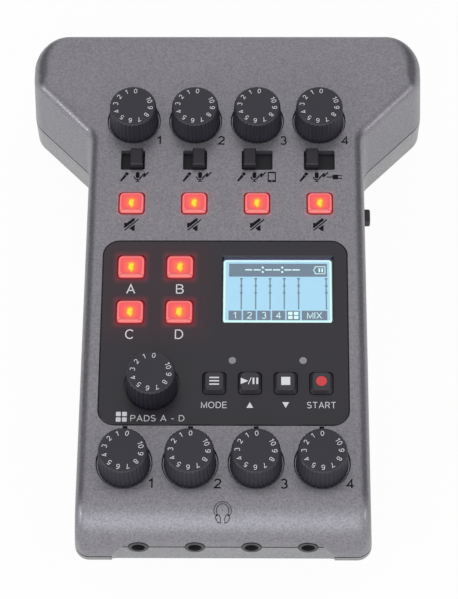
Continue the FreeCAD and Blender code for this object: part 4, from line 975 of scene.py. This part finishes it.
# Channel numbers by the knobs, and an index over each headphone knob
NUMBER_HEIGHT = 2.9
NUMBER_PEN = 0.4
NUMBER_RIGHT = 7.3
NUMBER_DOWN = {"gain": 6.4, "phones": 5.9}
INDEX_ROW = -47.83
for n in CHANNELS:
    for row, down in NUMBER_DOWN.items():
        x, y, _ = deck_middle("%s_knob_%d" % (row, n))
        number = lettering(str(n), NUMBER_HEIGHT, NUMBER_PEN)
        print_on_deck("%s_number_%d" % (row, n), number, (x + NUMBER_RIGHT, y - down, 0), BLACK_INK)
    print_on_deck("phones_index_%d" % n, flat_box(1.3, 1.55), (x, INDEX_ROW, 0), BLACK_INK)


# Signs under the input switches

MICROPHONE_LEAN = -35


def stick_microphone():
    """A hand microphone that leans to the right: a round head on a tapered handle."""
    head = moved(round_box_points(1.0, 0.95, 0.4), 0.0, 1.2)
    handle = [(-0.4, 0.62), (0.4, 0.62), (0.24, -1.72), (-0.24, -1.72)]
    return [flat_shape([moved(part, 0, 0, MICROPHONE_LEAN)]) for part in (head, handle)]


def stand_microphone():
    """A studio microphone: a capsule in a yoke on a short foot."""
    capsule = moved(round_box_points(1.1, 2.0, 0.54), 0, 0.56)
    yoke = oval_points(0, 0.2, 0.98, 1.1, 185, 355)
    return [
        flat_shape([capsule]),
        flat_shape(pen_loops(yoke, 0.32)),
        flat_box(0.3, 0.5, 0, -1.1),
        flat_box(1.15, 0.26, 0, -1.42),
    ]


def power_bolt():
    """A small bolt for supply voltage, drawn on a slant."""
    strokes = (((-1.2, -0.95), (0.2, 0.65)), ((-0.2, -0.65), (1.2, 0.95)), ((0.1, 0.6), (-0.1, -0.6)))
    return [flat_shape([bar_points(start, end, 0.38)]) for start, end in strokes]


def telephone():
    """A phone seen from the front, with its screen and key."""
    screen = moved(box_points(1.7, 2.2), 0, 0.12)
    key = moved(disc_points(0.2, 12), 0, -1.36)
    return [flat_shape([round_box_points(2.3, 3.35, 0.35), screen, key])]


def cable_plug():
    """A plug on its lead."""
    return [
        flat_shape([moved(round_box_points(1.5, 1.5, 0.25), 0.15, 0)]),
        flat_box(1.2, 0.3, 1.45, 0.42),
        flat_box(1.2, 0.3, 1.45, -0.42),
        flat_box(1.7, 0.3, -1.4, 0),
    ]


SIGN_ROW = 29.6
BOLT_RISE = 0.6
SIGN_PLACES = {1: (-2.28, 1.42, 3.27), 2: (-2.2, 1.45, 3.4), 3: (-4.38, -0.75, 1.2), 4: (-4.38, -0.76, 1.2)}
for n, (stick, stand, bolt) in SIGN_PLACES.items():
    x, _, _ = deck_middle("gain_knob_%d" % n)
    print_on_deck("stick_sign_%d" % n, stick_microphone(), (x + stick, SIGN_ROW, 0), BLACK_INK)
    print_on_deck("stand_sign_%d" % n, stand_microphone(), (x + stand, SIGN_ROW, 0), BLACK_INK)
    print_on_deck("bolt_sign_%d" % n, power_bolt(), (x + bolt, SIGN_ROW + BOLT_RISE, 0), BLACK_INK)
for name, sign, n, right in (("phone_sign", telephone, 3, 4.1), ("plug_sign", cable_plug, 4, 4.25)):
    x, _, _ = deck_middle("gain_knob_%d" % n)
    print_on_deck(name, sign(), (x + right, SIGN_ROW, 0), BLACK_INK)


# Muted speakers under the channel keys

MUTE_SIGN_ROW = 14.35


def muted_speaker():
    """A loudspeaker cut by a slanting bar."""
    upper = [(-1.9, 0.5), (-1.15, 0.5), (0.5, 1.95), (0.98, 1.95), (1.0, 1.3), (-1.55, -1.02), (-1.9, -1.02)]
    lower = [(1.0, -0.05), (1.0, -2.0), (0.4, -1.95), (-0.45, -1.2)]
    bar = bar_points((-1.75, -1.85), (1.95, 1.62), 0.34)
    return [flat_shape([loop]) for loop in (upper, lower, bar)]


for n in CHANNELS:
    x, _, _ = deck_middle("mute_key_%d" % n)
    print_on_deck("mute_sign_%d" % n, muted_speaker(), (x, MUTE_SIGN_ROW, 0), BLACK_INK)


# Panel prints

_, _, PANEL_TOP = deck_middle("display_panel")
PAD_LETTER_HEIGHT = 3.05
PAD_LETTER_PEN = 0.31
PAD_LETTER_DOWN = 6.75


def print_on_panel(name, meshes, x, y):
    """Lay a white print on the panel."""
    print_on_deck(name, meshes, (x, y, PANEL_TOP), WHITE_INK)


for letter in PADS:
    x, y, _ = deck_middle("pad_key_" + letter)
    mesh = lettering(letter.upper(), PAD_LETTER_HEIGHT, PAD_LETTER_PEN)
    print_on_panel("pad_letter_" + letter, mesh, x, y - PAD_LETTER_DOWN)


def menu_lines():
    """Three lines."""
    return [flat_box(2.6, 0.4, 0, step) for step in (-0.98, 0, 0.98)]


def play_pause():
    """Triangle, slash and two bars."""
    return [
        flat_shape([[(-2.45, 0.95), (-2.45, -0.95), (-0.45, 0)]]),
        flat_shape([bar_points((-0.45, -1.0), (0.35, 1.0), 0.22)]),
        flat_box(0.5, 1.9, 0.95, 0),
        flat_box(0.5, 1.9, 1.95, 0),
    ]


KEY_SIGNS = {
    "menu": (menu_lines, WHITE_INK),
    "play": (play_pause, WHITE_INK),
    "stop": (lambda: [flat_box(2.4, 2.4)], WHITE_INK),
    "record": (lambda: [flat_shape([disc_points(1.45)])], RED_INK),
}
for key, (make_sign, ink) in KEY_SIGNS.items():
    print_on_deck(key + "_sign", make_sign(), deck_middle(key + "_key"), ink, key + "_key")

CAPTION_ROW = -40.8
CAPTION_HEIGHT = 1.95
CAPTION_PEN = 0.19
triangle = [(-0.9, -0.85), (0.9, -0.85), (0, 0.85)]
captions = {
    "menu": lettering("MODE", CAPTION_HEIGHT, CAPTION_PEN, 6.9),
    "play": flat_shape([triangle]),
    "stop": flat_shape([moved(triangle, 0, 0, 180)]),
    "record": lettering("START", CAPTION_HEIGHT, CAPTION_PEN, 7.7),
}
for key, mesh in captions.items():
    x, _, _ = deck_middle(key + "_key")
    print_on_panel(key + "_caption", mesh, x, CAPTION_ROW)

PAD_SIGN_HALF_PITCH = 0.815
PADS_SIGN_PLACE = (-27.05, -44.35)
PADS_CAPTION_PLACE = (-17.5, -44.75)
PADS_CAPTION_HEIGHT = 1.9
PADS_CAPTION_WIDTH = 14.3
squares = [
    flat_shape([moved(round_box_points(1.28, 1.28, 0.2), a * PAD_SIGN_HALF_PITCH, b * PAD_SIGN_HALF_PITCH)])
    for a in (-1, 1)
    for b in (-1, 1)
]
print_on_panel("pads_sign", squares, *PADS_SIGN_PLACE)
caption = lettering("PADS A - D", PADS_CAPTION_HEIGHT, CAPTION_PEN, PADS_CAPTION_WIDTH)
print_on_panel("pads_caption", caption, *PADS_CAPTION_PLACE)


# Display picture

_, _, LCD_TOP = deck_middle("lcd_module")
LIT_LEFT, LIT_RIGHT, LIT_BOTTOM, LIT_TOP = -0.4, 29.1, -15.4, 4.1
STRIP_HEIGHT = 1.5
EDGE_WIDTH = 0.55
LOWER_EDGE_WIDTH = 0.8
EDGE_ROUND = 0.85
FIELD_ROUND = 0.5
BAR_LEFT, BAR_RIGHT, BAR_BOTTOM, BAR_TOP = 1.1, 27.87, -1.1, 2.95
BOX_BOTTOM, BOX_TOP = -14.5, -11.6
BOXES = ((1.04, 4.63), (4.98, 8.47), (8.83, 12.44), (12.83, 16.39), (16.77, 20.38), (20.89, 27.8))
BOX_WORDS = ("1", "2", "3", "4", None, "MIX")
WORD_HEIGHT = 2.05
WORD_PEN = 0.2
COLUMNS = (4.47, 8.39, 12.29, 16.15, 20.05, 27.58)
COLUMN_TOP = -1.78
DASHES = ((5.5, 7.4), (7.8, 9.7), (10.9, 12.8), (13.1, 15.0), (16.2, 18.1), (18.4, 20.4))
DASH_BOTTOM, DASH_TOP = 0.82, 1.2
COLONS = (10.28, 15.62)
COLON_DOTS = (0.35, 1.75)
BATTERY = (
    ((24.0, 0.9), (24.5, 1.6), (24.5, 2.1), (27.4, 2.1), (27.4, -0.3), (24.5, -0.3), (24.5, 0.2)),
    ((24.25, 0.9), (24.7, 1.53), (24.7, 1.9), (27.2, 1.9), (27.2, -0.1), (24.7, -0.1), (24.7, 0.27)),
)
BATTERY_BARS = (25.75, 26.55)
BATTERY_MIDDLE = 0.9


def on_display(name, meshes, layer, material):
    """Lay part of the picture on the display, a layer above the last."""
    print_on_deck(name, meshes, (0, 0, LCD_TOP + layer * INK), material)


def span(left, right, bottom, top, radius=0.0):
    """A thin box between its edges, its corners round where they have a radius."""
    size = (right - left, top - bottom)
    points = round_box_points(*size, radius) if radius else box_points(*size)
    return flat_shape([moved(points, (left + right) / 2, (bottom + top) / 2)])


strip = span(LIT_LEFT, LIT_RIGHT, LIT_TOP, LIT_TOP + STRIP_HEIGHT)
on_display("display_strip", strip, 0, DISPLAY_STRIP)
on_display("display_edge", span(LIT_LEFT, LIT_RIGHT, LIT_BOTTOM, LIT_TOP, EDGE_ROUND), 0, DISPLAY_EDGE)
field = span(
    LIT_LEFT + EDGE_WIDTH,
    LIT_RIGHT - EDGE_WIDTH,
    LIT_BOTTOM + LOWER_EDGE_WIDTH,
    LIT_TOP - EDGE_WIDTH,
    FIELD_ROUND,
)
on_display("display_field", field, 1, DISPLAY_LIT)
boxes = [span(left, right, BOX_BOTTOM, BOX_TOP) for left, right in BOXES]
boxes.append(span(BAR_LEFT, BAR_RIGHT, BAR_BOTTOM, BAR_TOP))
on_display("display_boxes", boxes, 2, DISPLAY_BAR)

marks = [span(left, right, DASH_BOTTOM, DASH_TOP) for left, right in DASHES]
marks += [flat_box(0.5, 0.6, x, y) for x in COLONS for y in COLON_DOTS]
marks.append(flat_shape(BATTERY))
marks += [flat_box(0.42, 1.2, x, BATTERY_MIDDLE) for x in BATTERY_BARS]
for (left, right), word in zip(BOXES, BOX_WORDS):
    middle_x = (left + right) / 2
    middle_y = (BOX_BOTTOM + BOX_TOP) / 2
    if word:
        mesh = lettering(word, WORD_HEIGHT, WORD_PEN)
        mesh.transform(Matrix.Translation((middle_x, middle_y, 0)))
        marks.append(mesh)
    else:
        marks += [flat_box(1.2, 0.95, middle_x + a, middle_y + b) for a in (-0.8, 0.8) for b in (-0.62, 0.62)]
on_display("display_marks", marks, 3, DISPLAY_EDGE)

scales = grown(METER_SCALE, loose_points([(x, COLUMN_TOP, 0) for x in COLUMNS]), Material=DISPLAY_MARK)
scales.transform(DECK @ Matrix.Translation((0, 0, LCD_TOP + 2 * INK)))
add_piece("display_scales", scales, DISPLAY_MARK, "case")


# Headphone sign on the nose roll

NOSE_START = -65.42
NOSE_RADIUS = 13.0
PHONES_SIGN = -71.4


def over_nose(mesh, middle):
    """Bend a flat mesh over the rolled nose; its y is the length along the roll from a middle."""
    for vertex in mesh.vertices:
        down = NOSE_START - (middle + vertex.co.y)
        angle = max(down, 0) / NOSE_RADIUS
        out = NOSE_RADIUS + vertex.co.z + INK / 2
        if down > 0:
            vertex.co.y = NOSE_START - out * math.sin(angle)
            vertex.co.z = -NOSE_RADIUS + out * math.cos(angle)
        else:
            vertex.co.y += middle
            vertex.co.z += INK / 2
    mesh.transform(DECK)
    return mesh


def headphones():
    """Outline of a headband over two ear cups."""
    cup = [(1.45, -0.5), (0.85, -0.75), (0.55, -1.6), (0.6, -2.85), (1.3, -2.6), (1.85, -1.5), (1.8, -0.85)]
    shapes = []
    for wide, tall in ((2.28, 2.3), (1.62, 1.75)):
        band = [(x * wide, 0.5 + y * tall) for x, y in arc_points(1.0, -32, 212, 36)]
        shapes.append(flat_shape(pen_loops(band, 0.15)))
    for side in (-1, 1):
        shapes.append(flat_shape(pen_loops([(x * side, y) for x, y in cup + cup[:1]], 0.17)))
        shapes.append(flat_shape([moved(disc_points(0.24, 12), side * 1.55, -0.8)]))
    return shapes


phones_sign = over_nose(joined(headphones()), PHONES_SIGN)
add_piece("phones_sign", phones_sign, BLACK_INK, "case")


# Floor, a little below the feet

FLOOR_REACH = 3.0
FLOOR_DROP = 0.05
corners = [(x, y, 0) for x, y in box_points(2 * FLOOR_REACH, 2 * FLOOR_REACH)]
floor_mesh = bpy.data.meshes.new("floor")
floor_mesh.from_pydata(corners, [], [(0, 1, 2, 3)])
floor = bpy.data.objects.new("floor", floor_mesh)
floor.location.z = -FLOOR_DROP * MM
bpy.context.scene.collection.objects.link(floor)


def white_for_sight(tree):
    """1 where a ray is the camera's own, a mirrored one or one through glass."""
    path = tree.nodes.new("ShaderNodeLightPath").outputs
    seen = plus(plus(path["Is Camera Ray"], path["Is Glossy Ray"]), path["Is Transmission Ray"])
    return math_node("MINIMUM", seen, 1.0)


FLOOR_LIFT = 0.95
floor_white = bpy.data.materials.new("floor_white")
floor_white.use_nodes = True
tree = floor_white.node_tree
matt = tree.nodes["Principled BSDF"]
matt.inputs["Base Color"].default_value = (0.95, 0.95, 0.95, 1)
matt.inputs["Roughness"].default_value = 0.9
bright = tree.nodes.new("ShaderNodeEmission")
lifted = tree.nodes.new("ShaderNodeMixShader")
link(times(white_for_sight(tree), FLOOR_LIFT), lifted.inputs[0])
link(matt.outputs[0], lifted.inputs[1])
link(bright.outputs[0], lifted.inputs[2])
link(lifted.outputs[0], tree.nodes["Material Output"].inputs["Surface"])
floor_mesh.materials.append(floor_white)

# Room light, white to the eye and in gloss. In gloss alone, dark cards stand at both sides behind the object.
WORLD_LEVEL = 0.75
CARD_DARKNESS = 0.9
CARD_SIDES = (0.18, 0.48)
CARD_FRONT = (-0.2, 0.1)
CARD_TOP = (0.92, 0.7)
CARD_SHIFT = 0.04
world = bpy.data.worlds.new("white_room")
bpy.context.scene.world = world
world.use_nodes = True
tree = world.node_tree
backdrop = tree.nodes["Background"]
backdrop.inputs["Color"].default_value = (1, 1, 1, 1)
level = tree.nodes.new("ShaderNodeMapRange")
level.inputs["To Min"].default_value = WORLD_LEVEL
level.inputs["To Max"].default_value = 1.0
link(white_for_sight(tree), level.inputs["Value"])
direction = parts_of(tree.nodes.new("ShaderNodeTexCoord").outputs["Generated"])
sideways = faded(math_node("ABSOLUTE", plus(direction[0], CARD_SHIFT)), *CARD_SIDES)
cards = times(times(sideways, faded(direction[1], *CARD_FRONT)), faded(direction[2], *CARD_TOP))
cards = times(cards, tree.nodes.new("ShaderNodeLightPath").outputs["Is Glossy Ray"])
shown = minus(1.0, times(cards, CARD_DARKNESS))
link(times(level.outputs[0], shown), backdrop.inputs["Strength"])


LAMP_TARGET = Vector((0, 0, 0.02))


def softbox(name, place, width, height, watts, colour=(1, 1, 1)):
    """An area lamp that faces the object."""
    lamp = bpy.data.lights.new(name, "AREA")
    lamp.color = colour
    lamp.shape = "RECTANGLE"
    lamp.size = width
    lamp.size_y = height
    lamp.energy = watts
    holder = bpy.data.objects.new(name, lamp)
    holder.location = place
    aim = LAMP_TARGET - Vector(place)
    holder.rotation_euler = aim.to_track_quat("-Z", "Y").to_euler()
    bpy.context.scene.collection.objects.link(holder)


softbox("front_softbox", (-0.15, -1.2, 0.8), 1.6, 0.9, 5.2, (0.94, 1, 1))
softbox("left_softbox", (-1.3, -0.5, 0.38), 0.25, 0.25, 2.6)
softbox("right_softbox", (1.3, -0.5, 0.38), 0.25, 0.25, 1.3)


# Camera, as the photograph was taken

CAMERA_LENS = 155.86
CAMERA_RISE = math.radians(58.801)
CAMERA_YAW = math.radians(1.605)
CAMERA_ROLL = math.radians(-1.287)
CAMERA_AWAY = 721.485
CAMERA_TARGET = Vector((0.897, 0.589, 20.0))

back = Vector((
    math.sin(CAMERA_YAW) * math.cos(CAMERA_RISE),
    -math.cos(CAMERA_YAW) * math.cos(CAMERA_RISE),
    math.sin(CAMERA_RISE),
))
right = (-back).cross(Vector((0, 0, 1))).normalized()
up = back.cross(right)
level_right = math.cos(CAMERA_ROLL) * right + math.sin(CAMERA_ROLL) * up
level_up = back.cross(level_right)
camera_data = bpy.data.cameras.new("camera")
camera_data.sensor_width = 36.0
camera_data.lens = CAMERA_LENS
camera_data.clip_start = 0.01
camera_data.clip_end = 20.0
camera = bpy.data.objects.new("camera", camera_data)
turned = Matrix((level_right, level_up, back)).transposed().to_4x4()
camera.matrix_world = Matrix.Translation((CAMERA_TARGET + back * CAMERA_AWAY) * MM) @ turned
bpy.context.scene.collection.objects.link(camera)
bpy.context.scene.camera = camera
bpy.context.scene.view_settings.view_transform = "Standard"
